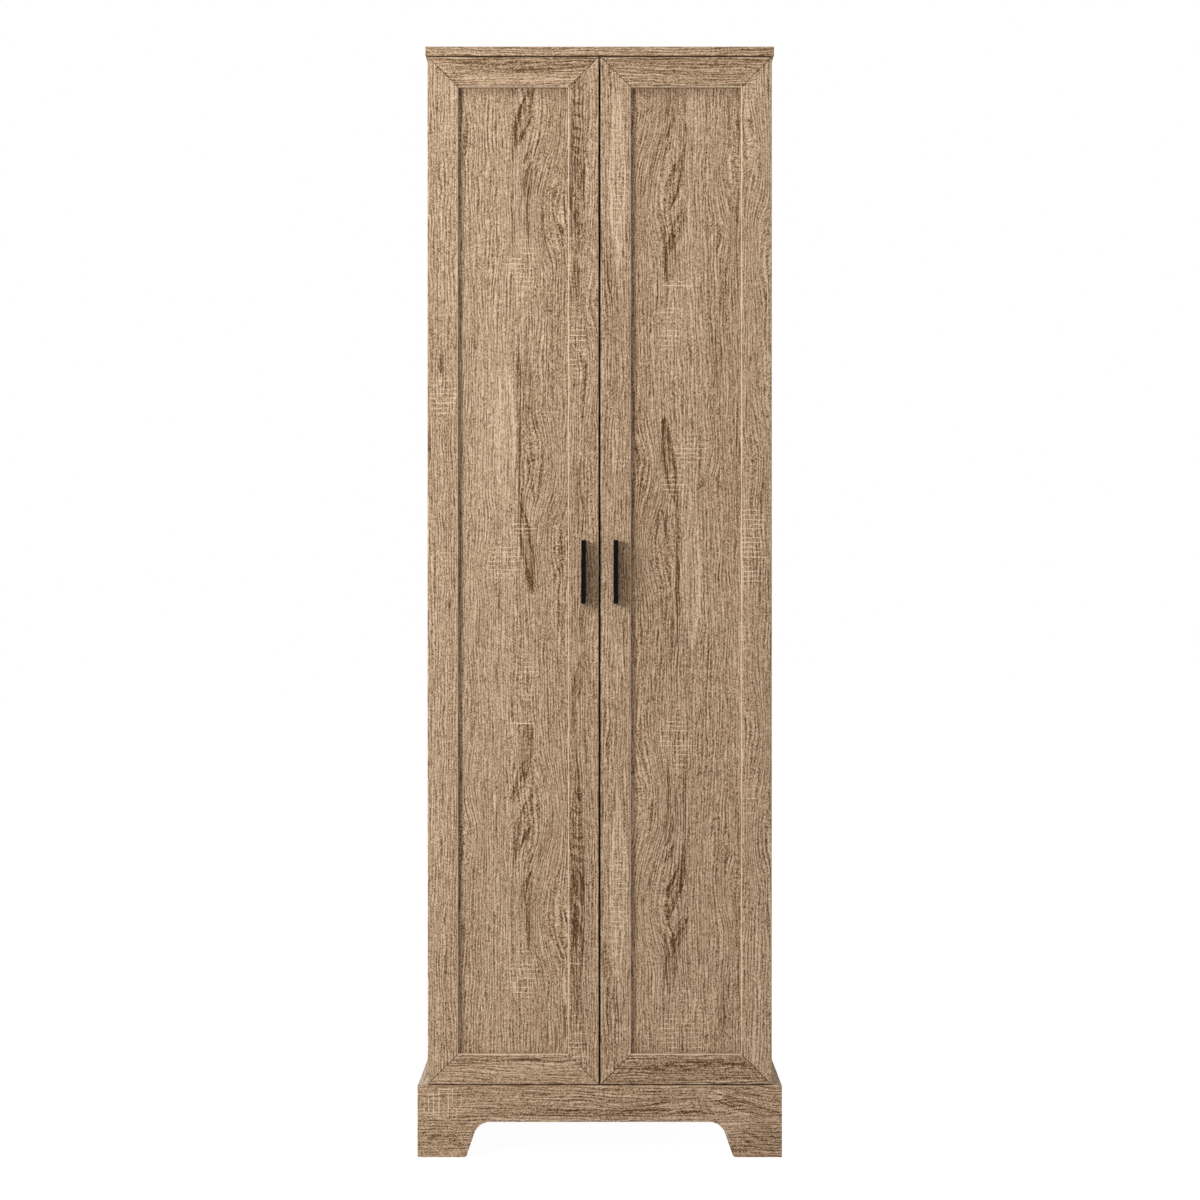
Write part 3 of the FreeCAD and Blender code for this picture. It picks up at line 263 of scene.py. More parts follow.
def make_oak_group():
    """Printed oak as a node group. Board is (across, 0, along) in metres.

    Tone is its lightness, Flame darkens it, Figure adds chance flames, Saw adds saw marks and Sway moves
    the grain aside, in metres.
    """
    tree = bpy.data.node_groups.new("oak_print", "ShaderNodeTree")
    face = tree.interface
    face.new_socket("Board", in_out="INPUT", socket_type="NodeSocketVector")
    for name in ("Flame", "Saw", "Tone", "Figure", "Sway"):
        face.new_socket(name, in_out="INPUT", socket_type="NodeSocketFloat")
    face.new_socket("Color", in_out="OUTPUT", socket_type="NodeSocketColor")
    face.new_socket("Height", in_out="OUTPUT", socket_type="NodeSocketFloat")
    given = add_node(tree, "NodeGroupInput").outputs

    # The grain leans a little, this way and that
    waves = calc(tree, "MULTIPLY_ADD", oak_layer(tree, given["Board"], "wave"), WAVE_DRIFT, given["Sway"])
    drift = calc(tree, "MULTIPLY_ADD", oak_layer(tree, given["Board"], "lean"), LEAN_DRIFT, waves)
    aside = add_node(tree, "ShaderNodeCombineXYZ", {"X": drift}).outputs[0]
    board = add_vectors(tree, given["Board"], aside)
    across = split(tree, board)["X"]

    # Each field with the value that leaves the tone alone, and its weight
    long_fibre = oak_layer(tree, board, "long_fibre")
    short_fibre = oak_layer(tree, board, "short_fibre")
    fields = (
        (oak_layer(tree, board, "broad"), 0.5, 0.26),
        (oak_layer(tree, board, "bands"), 0.5, 0.13),
        (close_lines(tree, board, across), 0.0, 0.23),
        (long_fibre, 0.5, 0.38),
        (short_fibre, 0.5, 0.54),
        (oak_layer(tree, board, "grit"), 0.5, 1.40),
        (oak_layer(tree, board, "pores"), 0.0, -0.11),
        (ring_lines(tree, board, across), 0.0, -0.06),
        (dark_heart(tree, board, given), 0.0, -0.26),
        (saw_marks(tree, board, given), 0.0, 0.42),
    )
    value = given["Tone"]
    for field, middle, weight in fields:
        value = calc(tree, "MULTIPLY_ADD", calc(tree, "SUBTRACT", field, middle), weight, value)
    height = calc(tree, "MULTIPLY_ADD", short_fibre, SHORT_HEIGHT, long_fibre)
    add_node(tree, "NodeGroupOutput", {"Color": ramp(tree, value, OAK_TONES), "Height": height})
    return tree


OAK_GROUP = make_oak_group()
# Axes across the grain, through the board and along the grain, by the axis of the grain
GRAIN_AXES = {"Z": ("X", "Y", "Z"), "X": ("Z", "Y", "X"), "Y": ("X", "Z", "Y")}

# Noise that wavers the figure's patches across the grain: cells to a metre, seed, detail, reach in metres
WAVER_CELLS = 30.0
WAVER_SEED = 81.0
WAVER_DETAIL = 2.0
WAVER_REACH = 0.006
# Noise that feathers them along the grain
FEATHER_ACROSS = 330.0
FEATHER_ALONG = 7.0
FEATHER_SEED = 83.0
FEATHER_DETAIL = 1.0
FEATHER_REACH = 0.010
# A patch goes through the whole board, so its half depth in metres is large
PATCH_DEPTH = 100.0
# Leaf: where its rim darkens and its edge fades, by reach, strength of its ground and what the rim adds
LEAF_RIM = (0.30, 0.85)
LEAF_EDGE = (1.10, 0.85)
LEAF_GROUND = 0.6
LEAF_RIM_ADDS = 0.5
OVAL_EDGE = (1.10, 0.50)


def photo_place(pixel_x, pixel_y):
    """Metres across and up on the door faces for a pixel of the photograph."""
    return (pixel_x - PHOTO_CENTRE_X) * PIXEL, (PHOTO_FLOOR_Y - pixel_y) * PIXEL


def board_vector(tree, grain, start):
    """Board coordinates: across the grain on whichever face shows, 0, and along the grain."""
    axes = split(tree, add_vectors(tree, object_place(tree), start))
    across, through, along = (axes[name] for name in GRAIN_AXES[grain])
    both = calc(tree, "ADD", across, through)
    return add_node(tree, "ShaderNodeCombineXYZ", {"X": both, "Y": 0.0, "Z": along}).outputs[0]


def centred_noise(tree, place, cells, seed, detail, reach):
    """Noise of that reach in all, half of it to either side of zero."""
    return calc(tree, "MULTIPLY_ADD", noise(tree, place, cells, seed, detail), reach, -reach / 2)


def patch_place(tree, place, pixel_x, pixel_y, half_x, half_y, lean=0.0):
    """Coordinates in which a leaning patch, set in pixels of the photograph, reaches from -1 to 1."""
    x, z = photo_place(pixel_x, pixel_y)
    inputs = {
        "Vector": place,
        "Location": (x, 0.0, z),
        "Rotation": (0.0, math.radians(lean), 0.0),
        "Scale": (half_x * PIXEL, PATCH_DEPTH, half_y * PIXEL),
    }
    return add_node(tree, "ShaderNodeMapping", inputs, vector_type="TEXTURE").outputs[0]


def patch_field(tree, rows, grain, pointed):
    """Sum of leaning patches on a board, from rows in pixels of the photograph, feathered along the grain.

    Pointed ones are leaves with a crisp, darker rim, which a bend can bow. The others are soft ovals.
    """
    upright = grain == "Z"
    place = object_place(tree)
    waver = centred_noise(tree, place, (WAVER_CELLS,) * 3, WAVER_SEED, WAVER_DETAIL, WAVER_REACH)
    cells = (FEATHER_ACROSS, FEATHER_ACROSS, FEATHER_ALONG)
    if not upright:
        cells = cells[::-1]
    feather = centred_noise(tree, place, cells, FEATHER_SEED, FEATHER_DETAIL, FEATHER_REACH)
    push = {"X": waver, "Z": feather} if upright else {"X": feather, "Z": waver}
    place = add_vectors(tree, place, add_node(tree, "ShaderNodeCombineXYZ", push).outputs[0])
    total = 0.0
    for pixel_x, pixel_y, half_x, half_y, lean, strength, *bend in rows:
        inside = patch_place(tree, place, pixel_x, pixel_y, half_x, half_y, lean)
        if pointed:
            wide_axis, long_axis = ("X", "Z") if half_x < half_y else ("Z", "X")
            wide = share(tree, inside, wide_axis)
            long = share(tree, inside, long_axis)
            square = calc(tree, "MULTIPLY", long, long)
            if bend:
                wide = calc(tree, "MULTIPLY_ADD", square, -bend[0] / min(half_x, half_y), wide)
            reach = calc(tree, "ADD", square, calc(tree, "ABSOLUTE", wide))
            rim = between(tree, reach, *LEAF_RIM)
            shade = calc(tree, "MULTIPLY_ADD", rim, LEAF_RIM_ADDS * strength, LEAF_GROUND * strength)
            total = calc(tree, "MULTIPLY_ADD", shade, between(tree, reach, *LEAF_EDGE), total)
        else:
            oval = between(tree, length(tree, inside), *OVAL_EDGE)
            total = calc(tree, "MULTIPLY_ADD", oval, strength, total)
    return total


def sway_field(tree, rows, grain):
    """How far the print is moved aside, in metres, so that its grain leans in patches of the board."""
    place = object_place(tree)
    total = 0.0
    for pixel_x, pixel_y, half_x, half_y, lean in rows:
        inside = patch_place(tree, place, pixel_x, pixel_y, half_x, half_y)
        fade = between(tree, length(tree, inside), 1.0, 0.0)
        half_along = PIXEL * (half_y if grain == "Z" else half_x)
        slope = -half_along * math.tan(math.radians(lean))
        push = calc(tree, "MULTIPLY", share(tree, inside, grain), slope)
        total = calc(tree, "MULTIPLY_ADD", push, fade, total)
    return total


def oak_print(tree, grain, start, tone, flames=(), saws=(), sways=()):
    """The print on one board, with its own stretch of the pattern. Gives its colour and height.

    The group node comes after the fields, which needs less of the renderer's memory for one material.
    """
    given = {"Tone": tone, "Figure": 0.0 if flames else CHANCE_FIGURE}
    if flames:
        given["Flame"] = patch_field(tree, flames, grain, pointed=True)
    if saws:
        given["Saw"] = patch_field(tree, saws, grain, pointed=False)
    if sways:
        given["Sway"] = sway_field(tree, sways, grain)
    given["Board"] = board_vector(tree, grain, start)
    made = add_node(tree, "ShaderNodeGroup", given, node_tree=OAK_GROUP)
    return made.outputs["Color"], made.outputs["Height"]


# Edges of the door frames, measured on the right door and mirrored for the left one
CORE_COLOUR = (0.040, 0.022, 0.012, 1.0)
# Pale colour of the painted highlight on the eased edges round the panels
ARRIS_HIGHLIGHT_COLOUR = (0.800, 0.660, 0.500, 1.0)
PANEL_SPAN = (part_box("door_right_handle_stile")[1].x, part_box("door_right_hinge_stile")[0].x)
PANEL_RISE = (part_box("door_right_bottom_rail")[1].z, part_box("door_right_top_rail")[0].z)
EDGE_REACH = 0.008
# Share of that painted highlight's colour on an eased edge
ARRIS_HIGHLIGHT_SHARE = 0.8
# Limits in the parts of a face's normal: a mitre cut, an eased edge's two sides, and a corner of two edges
MITRE_CUT = (0.10, 0.45)
EASED_BEGINS = (0.10, 0.25)
EASED_ENDS = (0.94, 0.99)
CORNER = (0.08, 0.16)


def core_in_mitres(tree, colour):
    """The dark core of a frame board shows on its mitre cuts, whose faces look along both X and Z."""
    parts = split(tree, add_node(tree, "ShaderNodeTexCoord").outputs["Normal"])
    both = calc(tree, "MINIMUM", calc(tree, "ABSOLUTE", parts["X"]), calc(tree, "ABSOLUTE", parts["Z"]))
    return mix_colours(tree, between(tree, both, *MITRE_CUT), colour, CORE_COLOUR)


def painted_arris_highlight(tree, colour):
    """Painted highlight: the eased edges round a door's panel are mixed towards a pale colour, not at its
    mitres or outer edges.
    """
    coords = add_node(tree, "ShaderNodeTexCoord").outputs
    facing = split(tree, coords["Normal"])
    tilt = {axis: calc(tree, "ABSOLUTE", facing[axis]) for axis in "XYZ"}
    begun = between(tree, tilt["Y"], *EASED_BEGINS)
    eased = calc(tree, "SUBTRACT", begun, between(tree, tilt["Y"], *EASED_ENDS))
    corner = between(tree, calc(tree, "MINIMUM", tilt["X"], tilt["Z"]), *CORNER)
    highlit = calc(tree, "MULTIPLY", calc(tree, "SUBTRACT", 1.0, corner), calc(tree, "MULTIPLY", eased, ARRIS_HIGHLIGHT_SHARE))
    place = split(tree, coords["Object"])
    off_centre = calc(tree, "ABSOLUTE", place["X"])
    for value, (low, high) in ((off_centre, PANEL_SPAN), (place["Z"], PANEL_RISE)):
        for edge, step in ((low, -EDGE_REACH), (high, EDGE_REACH)):
            highlit = calc(tree, "MULTIPLY", highlit, between(tree, value, edge + 2 * step, edge + step))
    return mix_colours(tree, highlit, colour, ARRIS_HIGHLIGHT_COLOUR)


# Surface of the oak print: bump with its distance in metres, and roughness from low fibres to high ones
OAK_BUMP = {"strength": 0.25, "distance": 0.0004}
OAK_ROUGHNESS = (0.62, 0.44)
OAK_SPECULAR = 0.06


def oak(name, grain, start, tone, flames=(), saws=(), sways=(), mitred=False):
    """Satin oak print on one board."""
    material, tree = new_material(name)
    colour, height = oak_print(tree, grain, start, tone, flames, saws, sways)
    if mitred:
        # Frame boards get a painted highlight on their eased edges and their dark core in the mitres
        colour = core_in_mitres(tree, painted_arris_highlight(tree, colour))
    look = {
        "Base Color": colour,
        "Roughness": spread(tree, height, *OAK_ROUGHNESS),
        "Normal": bump_normal(tree, height, **OAK_BUMP),
        "Specular IOR Level": OAK_SPECULAR,
    }
    finish_surface(tree, look)
    return material


# Finishes of the fittings. Positions of the dark and the light tone on a ramp
DARK_STOP = 0.3
LIGHT_STOP = 0.7
# Black coat of the handles: cells to a metre on each axis, seed and detail of its grit, tones and surface
COAT_GRIT = ((2600.0, 2600.0, 2600.0), 2.0, 1.0)
COAT_DARK = (0.003, 0.003, 0.003)
COAT_LIGHT = (0.007, 0.006, 0.006)
COAT_ROUGHNESS = (0.42, 0.55)
COAT_BUMP = {"strength": 0.2, "distance": 0.0002}
COAT_SPECULAR = 0.03
# Seeds of the metals' marks and of the plain surfaces' grit, and the detail of both
METAL_SEED = 4.0
PLAIN_SEED = 6.0
FITTING_DETAIL = 3.0
PLAIN_BUMP = 0.3


def two_tones(tree, value, dark, light):
    """Ramp from a finish's dark tone to its light one."""
    return ramp(tree, value, [(DARK_STOP, dark), (LIGHT_STOP, light)])


def black_paint():
    """Matt black powder coat of the handles."""
    material, tree = new_material("black_powder_coat")
    grit = noise(tree, object_place(tree), *COAT_GRIT)
    look = {
        "Base Color": two_tones(tree, grit, COAT_DARK, COAT_LIGHT),
        "Roughness": spread(tree, grit, *COAT_ROUGHNESS),
        "Normal": bump_normal(tree, grit, **COAT_BUMP),
        "Specular IOR Level": COAT_SPECULAR,
    }
    finish_surface(tree, look)
    return material


def metal(name, dark, light, roughness, cells):
    """Plated or cast metal with faint marks, drawn out along an axis that has fewer cells."""
    material, tree = new_material(name)
    marks = noise(tree, object_place(tree), cells, METAL_SEED, FITTING_DETAIL)
    look = {
        "Base Color": two_tones(tree, marks, dark, light),
        "Roughness": spread(tree, marks, *roughness),
        "Metallic": 1.0,
    }
    finish_surface(tree, look)
    return material


def plain_surface(name, dark, light, cells, roughness, bump_height=0.0002, transmission=0.0):
    """Plastic, rubber or bare timber with a fine grain of two tones."""
    material, tree = new_material(name)
    grit = noise(tree, object_place(tree), cells, PLAIN_SEED, FITTING_DETAIL)
    look = {
        "Base Color": two_tones(tree, grit, dark, light),
        "Roughness": roughness,
        "Normal": bump_normal(tree, grit, PLAIN_BUMP, bump_height),
        "Transmission Weight": transmission,
    }
    finish_surface(tree, look)
    return material


# Hardboard: start and tone of the print on its inner face
BACK_START = (4.0, 0.0, 2.0)
# Painted light: the inner face's print is set lighter than the outer boards, for the dim inside
BACK_TONE_LIGHTENED = 0.62
# Its bare outer face: cells to a metre on each axis, seed, detail and roughness of noises, and their shares
FLUFF = ((300.0, 300.0, 300.0), 3.0, 4.0, 0.7)
FLECKS = ((90.0, 90.0, 140.0), 11.0, 3.0, 0.7)
CLOUDS = ((5.0, 5.0, 5.0), 7.0, 1.0)
FLUFF_SHARE = 0.58
FLECK_SHARE = 0.30
CLOUD_SHARE = 0.12
BARE_TONES = [(0.36, (0.170, 0.105, 0.058)), (0.50, (0.290, 0.192, 0.115)), (0.64, (0.430, 0.305, 0.198))]
# Y of the normal below which a face has the print, and above which it is bare
BARE_SIDE = (-0.6, -0.5)
BACK_BUMP = {"strength": 0.3, "distance": 0.0004}
BACK_ROUGHNESS = 0.7
BACK_SPECULAR = 0.3


def hardboard():
    """Back leaf: oak print on the inside, bare brown hardboard on the outside."""
    material, tree = new_material("hardboard_back")
    inside, _ = oak_print(tree, "Z", BACK_START, BACK_TONE_LIGHTENED)
    coords = add_node(tree, "ShaderNodeTexCoord").outputs
    fluff = noise(tree, coords["Object"], *FLUFF)
    mixed = calc(tree, "MULTIPLY", fluff, FLUFF_SHARE)
    mixed = calc(tree, "MULTIPLY_ADD", noise(tree, coords["Object"], *FLECKS), FLECK_SHARE, mixed)
    mixed = calc(tree, "MULTIPLY_ADD", noise(tree, coords["Object"], *CLOUDS), CLOUD_SHARE, mixed)
    side = between(tree, split(tree, coords["Normal"])["Y"], *BARE_SIDE)
    look = {
        "Base Color": mix_colours(tree, side, inside, ramp(tree, mixed, BARE_TONES)),
        "Roughness": BACK_ROUGHNESS,
        "Normal": bump_normal(tree, fluff, **BACK_BUMP),
        "Specular IOR Level": BACK_SPECULAR,
    }
    finish_surface(tree, look)
    return material


# Flames and saw marks of the boards. Each row is centre and half sizes in pixels of the
# photograph, lean in degrees (to the right, or down at the right end of a level stroke), strength and,
# where a stroke is bent, how far its ends are moved in pixels (to the right, or up for a level stroke).
# The print comes again after one turn of its roller, in pixels, as are the ends of the panels
ROLLER_TURN = 709
PANEL_TOP = 80
PANEL_FOOT = 1060
# The right panel has the print the other way up: a mark's place on the left one and on it add up to these
TURNED_X = 1197
TURNED_Y = 1009


def rolled(rows):
    """Rows of the print and the same rows one turn further down."""
    return rows + [(x, y + ROLLER_TURN, *rest) for x, y, *rest in rows]


def on_panel(rows):
    """The rows of the print that lie on a door's panel, from all turns of the roller."""
    shown = []
    for x, y, half_x, half_y, *rest in rows:
        for middle in (y - ROLLER_TURN, y, y + ROLLER_TURN):
            if PANEL_TOP - half_y < middle < PANEL_FOOT + half_y:
                shown.append((x, middle, half_x, half_y, *rest))
    return shown


def turned(rows):
    """Rows of the print with the board the other way up."""
    half_turn = []
    for x, y, half_x, half_y, lean, *rest in rows:
        strength_and_bend = [*rest[:1], *(-bend for bend in rest[1:])]
        half_turn.append((TURNED_X - x, TURNED_Y - y, half_x, half_y, lean, *strength_and_bend))
    return half_turn


PANEL_FLAMES_AND_SHADE = [
    (524, 116, 6.5, 36, 15, 0.8), (515.3, 126, 2, 39, 10.5, 1.5, 6), (524.5, 128.5, 2, 18, 29, 1.4),
    (528, 153.5, 2.1, 11, 28, 1.6), (525.6, 177, 2, 19, 12, 1.5, 4), (528.2, 205, 2, 46, 3, 1.4, 3),
    (512.5, 205, 1.8, 60, 0, 0.9), (520.5, 196, 1.7, 26, 3, 0.9, 2), (545, 135, 1.8, 40, 17, 0.7),
    (505, 436, 11, 78, 0, -0.7), (518.8, 420, 2, 92, 0, 1.4), (527, 385, 5, 44, 0, 0.5),
    (520.5, 497, 2.2, 17, -4, 1.0), (531.5, 480, 1.7, 24, -9, 1.2), (541.5, 472, 1.7, 32, 7, 1.1),
    (527.5, 548, 5.7, 47, -8, 0.8), (521.8, 546, 1.8, 46, -8, 1.2, 4), (533.3, 551, 1.8, 42, -6, 1.1, -6),
    (529.5, 580, 3.5, 15, -12, 0.9), (494.5, 526, 3, 5, 20, 0.9), (498, 580, 2, 36, 0, 0.5),
    (561, 590, 3, 42, 0, 0.5), (551, 508, 1.8, 28, 14, 0.8), (478, 665, 6, 80, 5, 0.4),
    (526, 752, 6.5, 30, 2, 0.8), (520, 780, 6, 25, 18, 0.8), (532, 760, 1.8, 32, 0, 1.2),
    # The last two strokes, at x 459, are painted shade: they darken the panel's left edge where the stile's
    # shadow falls, and turned, the right panel's right edge
    (516.5, 786, 1.8, 18, 28, 1.1), (459, 540, 2.4, 70, 0, 0.8), (459, 820, 2.4, 120, 0, 0.7),
]
PANEL_SAWS = [
    (522, 264, 18, 34, 0, 1.0), (522, 526, 16, 14, 0, 1.4), (506, 560, 22, 22, 0, 1.0),
    (528, 680, 12, 34, 0, 0.9), (519, 725, 18, 3.5, 0, 1.8), (563, 410, 8, 12, 0, 1.0),
    (459, 130, 3, 40, 0, 0.8),
]
LEFT_STILE_FLAMES = rolled([
    (577, 180, 8, 140, 0, 0.7), (580, 84, 5, 8, 0, 0.8), (577, 104, 8, 1.6, 12, 1.3, 5),
    (577, 116, 6, 1.4, 20, 0.9, 3), (577, 129, 8, 1.6, 14, 1.3, 5), (577, 139, 8, 1.8, 14, 1.3, 5),
    (577, 151, 8, 3, 24, 1.0, 4), (579, 176, 5.5, 22, -12, 0.9), (574, 205, 5, 24, -14, 0.9),
    (579, 232, 5, 26, -6, 0.8), (576, 322, 8, 76, 0, 0.4),
]) + [
    (580, 500, 5, 44, 0, 0.5), (582, 626, 4, 22, 0, 0.5), (578, 682, 5, 36, 12, 0.8),
    (573, 745, 5, 40, 4, 0.4),
]
LEFT_STILE_SAWS = rolled([(577, 254, 12, 3.5, 0, 1.5), (577, 344, 11, 50, 0, 1.1)])
RIGHT_STILE_FLAMES = rolled([
    (618, 180, 9, 96, 0, -0.7), (609, 270, 5, 52, -12, 0.6), (611, 342, 6, 62, -3, 0.5),
]) + [
    (612, 386, 4, 13, 0, 0.6), (607, 455, 4, 50, -3, 0.4), (617, 640, 5, 66, -2, -0.4),
]
RIGHT_STILE_SAWS = rolled([(618, 180, 11, 70, 0, 0.8)]) + [(620, 460, 12, 8, 0, 0.8)]
RIGHT_HINGE_SAWS = rolled([(750, 90, 11, 30, 0, 0.8)]) + [
    (752, 545, 16, 56, 0, 1.3), (746, 640, 8, 20, 0, 0.7),
]
PLINTH_FLAMES = [
    (610, 1113, 120, 4, 0, 0.7), (755, 1108, 38, 3, 14, 1.1), (662, 1104, 48, 2.2, -11, 0.7),
    (717, 1095, 9, 5, 0, -0.9), (740, 1148, 12, 4, 0, 0.6), (765, 1136, 26, 16, 0, 0.4),
    (440, 1144, 24, 10, 0, 0.3), (640, 1105, 44, 1.6, -8, 1.0), (630, 1112, 40, 1.6, -6, 0.9),
    (655, 1098, 36, 1.5, -9, 0.7), (742, 1101, 36, 1.7, 17, 1.3), (742, 1110, 34, 1.7, 18, 1.2, 2),
    (750, 1094, 28, 1.5, 14, 0.8), (700, 1108, 1.6, 9, -25, 1.0, 3), (706, 1106, 1.6, 8, -25, 1.0, 3),
    (694, 1109, 1.6, 9, -28, 0.8, 3), (752, 1135, 18, 1.7, 24, 0.9), (748, 1142, 14, 1.6, 30, 0.8),
    (765, 1128, 12, 1.5, 12, 0.7),
]
# Flames and saw marks of each board that has its own, with strokes of painted shade on the panels and top
# rails
BOARD_PATCHES = {
    "door_left_panel": (on_panel(PANEL_FLAMES_AND_SHADE), on_panel(PANEL_SAWS)),
    "door_right_panel": (on_panel(turned(PANEL_FLAMES_AND_SHADE)), on_panel(turned(PANEL_SAWS))),
    "door_left_hinge_stile": (
        [(440, 366, 3, 8, 0, 1.0)],
        [(442, 395, 18, 26, 0, 1.0), (448, 560, 10, 20, 0, 0.6)],
    ),
    "door_left_handle_stile": (LEFT_STILE_FLAMES, LEFT_STILE_SAWS),
    "door_right_handle_stile": (RIGHT_STILE_FLAMES, RIGHT_STILE_SAWS),
    "door_right_hinge_stile": ([(747, 440, 4, 50, 0, 0.4)], RIGHT_HINGE_SAWS),
    "door_left_top_rail": (
        # The first stroke is a dark band along the top of the rail, under the top panel: partly the print's
        # figure, partly the top panel's painted shadow
        [(530, 62, 84, 9, 0, 0.8), (530, 78, 80, 5, 0, -0.4), (490, 70, 50, 1.8, 4, 0.6)],
        [],
    ),
    "door_right_top_rail": (
        # The first stroke is the same dark band under the top panel: partly the print's figure, partly
        # painted shadow
        [(690, 61, 84, 5, 0, 0.7), (700, 75, 44, 3, 2, 0.4), (670, 71, 40, 1.8, -2, 0.4)],
        [],
    ),
    "door_left_bottom_rail": ([(520, 1068, 72, 7, 0, -0.5), (505, 1060, 60, 1.8, -2, 0.6)], []),
    "door_right_bottom_rail": (
        [(700, 1070, 84, 9, 0, 0.4), (690, 1062, 60, 2.4, 1, 0.6), (664, 1069, 40, 4, 0, 0.4)],
        [],
    ),
    "plinth_front": (PLINTH_FLAMES, [(444, 1104, 26, 17, 0, 1.3)]),
}

# Where the grain leans: centre and half sizes in pixels of the photograph, and lean in degrees (to the
# right, or up at the right end of a level board)
PANEL_SWAYS = [
    (545, 155, 36, 125, 17), (472, 100, 18, 70, -12), (545, 500, 32, 95, 16), (486, 545, 22, 60, 10),
]
BOARD_SWAYS = {
    "plinth_front": [(655, 1106, 75, 22, 7), (758, 1104, 44, 24, -17)],
    "door_right_hinge_stile": [(758, 200, 18, 110, 13), (758, 420, 16, 90, -9), (758, 780, 18, 120, 12)],
    "door_left_handle_stile": [(590, 330, 16, 100, -8), (590, 620, 14, 90, 8)],
    "door_left_panel": on_panel(PANEL_SWAYS),
    "door_right_panel": on_panel(turned(PANEL_SWAYS)),
}

# Grain axis, start of the print and tone of each board that shows from outside
BOARD_PRINTS = {
    "door_left_panel": ("Z", (0.31, 0.0, 0.40), 0.52),
    "door_left_hinge_stile": ("Z", (2.30, 0.0, 3.10), 0.56),
    "door_left_handle_stile": ("Z", (5.90, 0.0, 7.70), 0.50),
    "door_left_top_rail": ("X", (8.20, 0.0, 1.30), 0.53),
    "door_left_bottom_rail": ("X", (3.60, 0.0, 9.40), 0.54),
    "door_right_panel": ("Z", (2.01, 0.0, 2.10), 0.51),
    "door_right_hinge_stile": ("Z", (4.00, 0.0, 4.80), 0.53),
    "door_right_handle_stile": ("Z", (7.60, 0.0, 9.40), 0.53),
    "door_right_top_rail": ("X", (9.90, 0.0, 3.00), 0.44),
    "door_right_bottom_rail": ("X", (5.30, 0.0, 11.10), 0.44),
    "top_panel": ("X", (1.10, 0.0, 2.20), 0.48),
    "plinth_front": ("X", (6.60, 0.0, 5.10), 0.50),
    "plinth_side_left": ("Y", (4.40, 1.0, 2.00), 0.48),
    "plinth_side_right": ("Y", (5.40, 1.0, 2.00), 0.48),
    "side_panel_left": ("Z", (7.30, 2.0, 0.60), 0.50),
    "side_panel_right": ("Z", (8.30, 2.0, 0.60), 0.50),
}
# Boards inside and behind: start of the first one's print in X and Z, step to the next one's, and tone
INNER_BOARDS = [
    "bottom_panel", "fixed_shelf", "adjustable_shelf_1", "adjustable_shelf_2", "adjustable_shelf_3",
    "adjustable_shelf_4", "top_back_rail", "plinth_back_rail",
]
INNER_START_X = 9.9
INNER_START_Z = 4.2
INNER_STEP_X = 1.37
INNER_STEP_Z = 0.83
# Painted light: the inside boards are printed lighter than the outer ones, for the dim inside
INNER_TONE_LIGHTENED = 0.60

# Metals by material slot: name, dark and light tone, range of roughness, and cells of the marks to a metre
METALS = {
    "hinge_steel": (
        "nickel_plated_steel", (0.44, 0.43, 0.40), (0.66, 0.65, 0.62), (0.20, 0.36), (90.0, 90.0, 900.0),
    ),
    "zinc_alloy": (
        "cast_zinc", (0.36, 0.37, 0.38), (0.52, 0.53, 0.54), (0.42, 0.60), (700.0, 700.0, 700.0),
    ),
    "zinc_plated_steel": (
        "zinc_plated_screws", (0.46, 0.47, 0.48), (0.62, 0.63, 0.64), (0.26, 0.42), (800.0, 800.0, 800.0),
    ),
}
# Plain surfaces by material slot: name, dark and light tone, cells of the grit to a metre and roughness,
# and for rubber the height of its bump in metres and its transmission
PLAIN_SURFACES = {
    "white_plastic": (
        "white_plastic", (0.74, 0.74, 0.72), (0.80, 0.80, 0.78), (900.0, 900.0, 900.0), 0.5,
    ),
    "clear_rubber": (
        "soft_rubber", (0.62, 0.61, 0.58), (0.70, 0.69, 0.66), (700.0, 700.0, 700.0), 0.4, 0.0001, 0.4,
    ),
    "raw_wood": (
        "bare_timber", (0.46, 0.32, 0.18), (0.62, 0.46, 0.29), (60.0, 600.0, 600.0), 0.7,
    ),
}


def paint(node, material):
    """Gives a CAD node its finish, in all its slots."""
    for slot in NODES[node].material_slots:
        slot.material = material


def paint_boards():
    """Oak print on every board."""
    for node, (grain, start, tone) in BOARD_PRINTS.items():
        flames, saws = BOARD_PATCHES.get(node, ((), ()))
        sways = BOARD_SWAYS.get(node, ())
        mitred = node.endswith(("_stile", "_rail"))
        paint(node, oak(node + "_oak", grain, start, tone, flames, saws, sways, mitred))
    for number, node in enumerate(INNER_BOARDS):
        start = (INNER_START_X + INNER_STEP_X * number, 0.0, INNER_START_Z + INNER_STEP_Z * number)
        paint(node, oak(node + "_oak", "X", start, INNER_TONE_LIGHTENED))


def paint_fittings():
    """Finishes of everything else, by material slot."""
    finishes = {slot: metal(*look) for slot, look in METALS.items()}
    finishes.update({slot: plain_surface(*look) for slot, look in PLAIN_SURFACES.items()})
    finishes["black_metal"] = black_paint()
    finishes["hardboard"] = hardboard()
    for subpart in frame["record"]["subparts"]:
        if subpart["material_slot"] in finishes:
            paint(subpart["node"], finishes[subpart["material_slot"]])


# Floor, light and camera
WHITE = (1.0, 1.0, 1.0)
WARM_WHITE = (1.0, 0.80, 0.61)
FLOOR_SIZE = 30.0
# Glow of the floor where it is seen, from near the cabinet to far off, and where near and far are, in metres
FLOOR_GLOW = (0.97, 1.0)
GLOW_REACH = (0.8, 2.6)
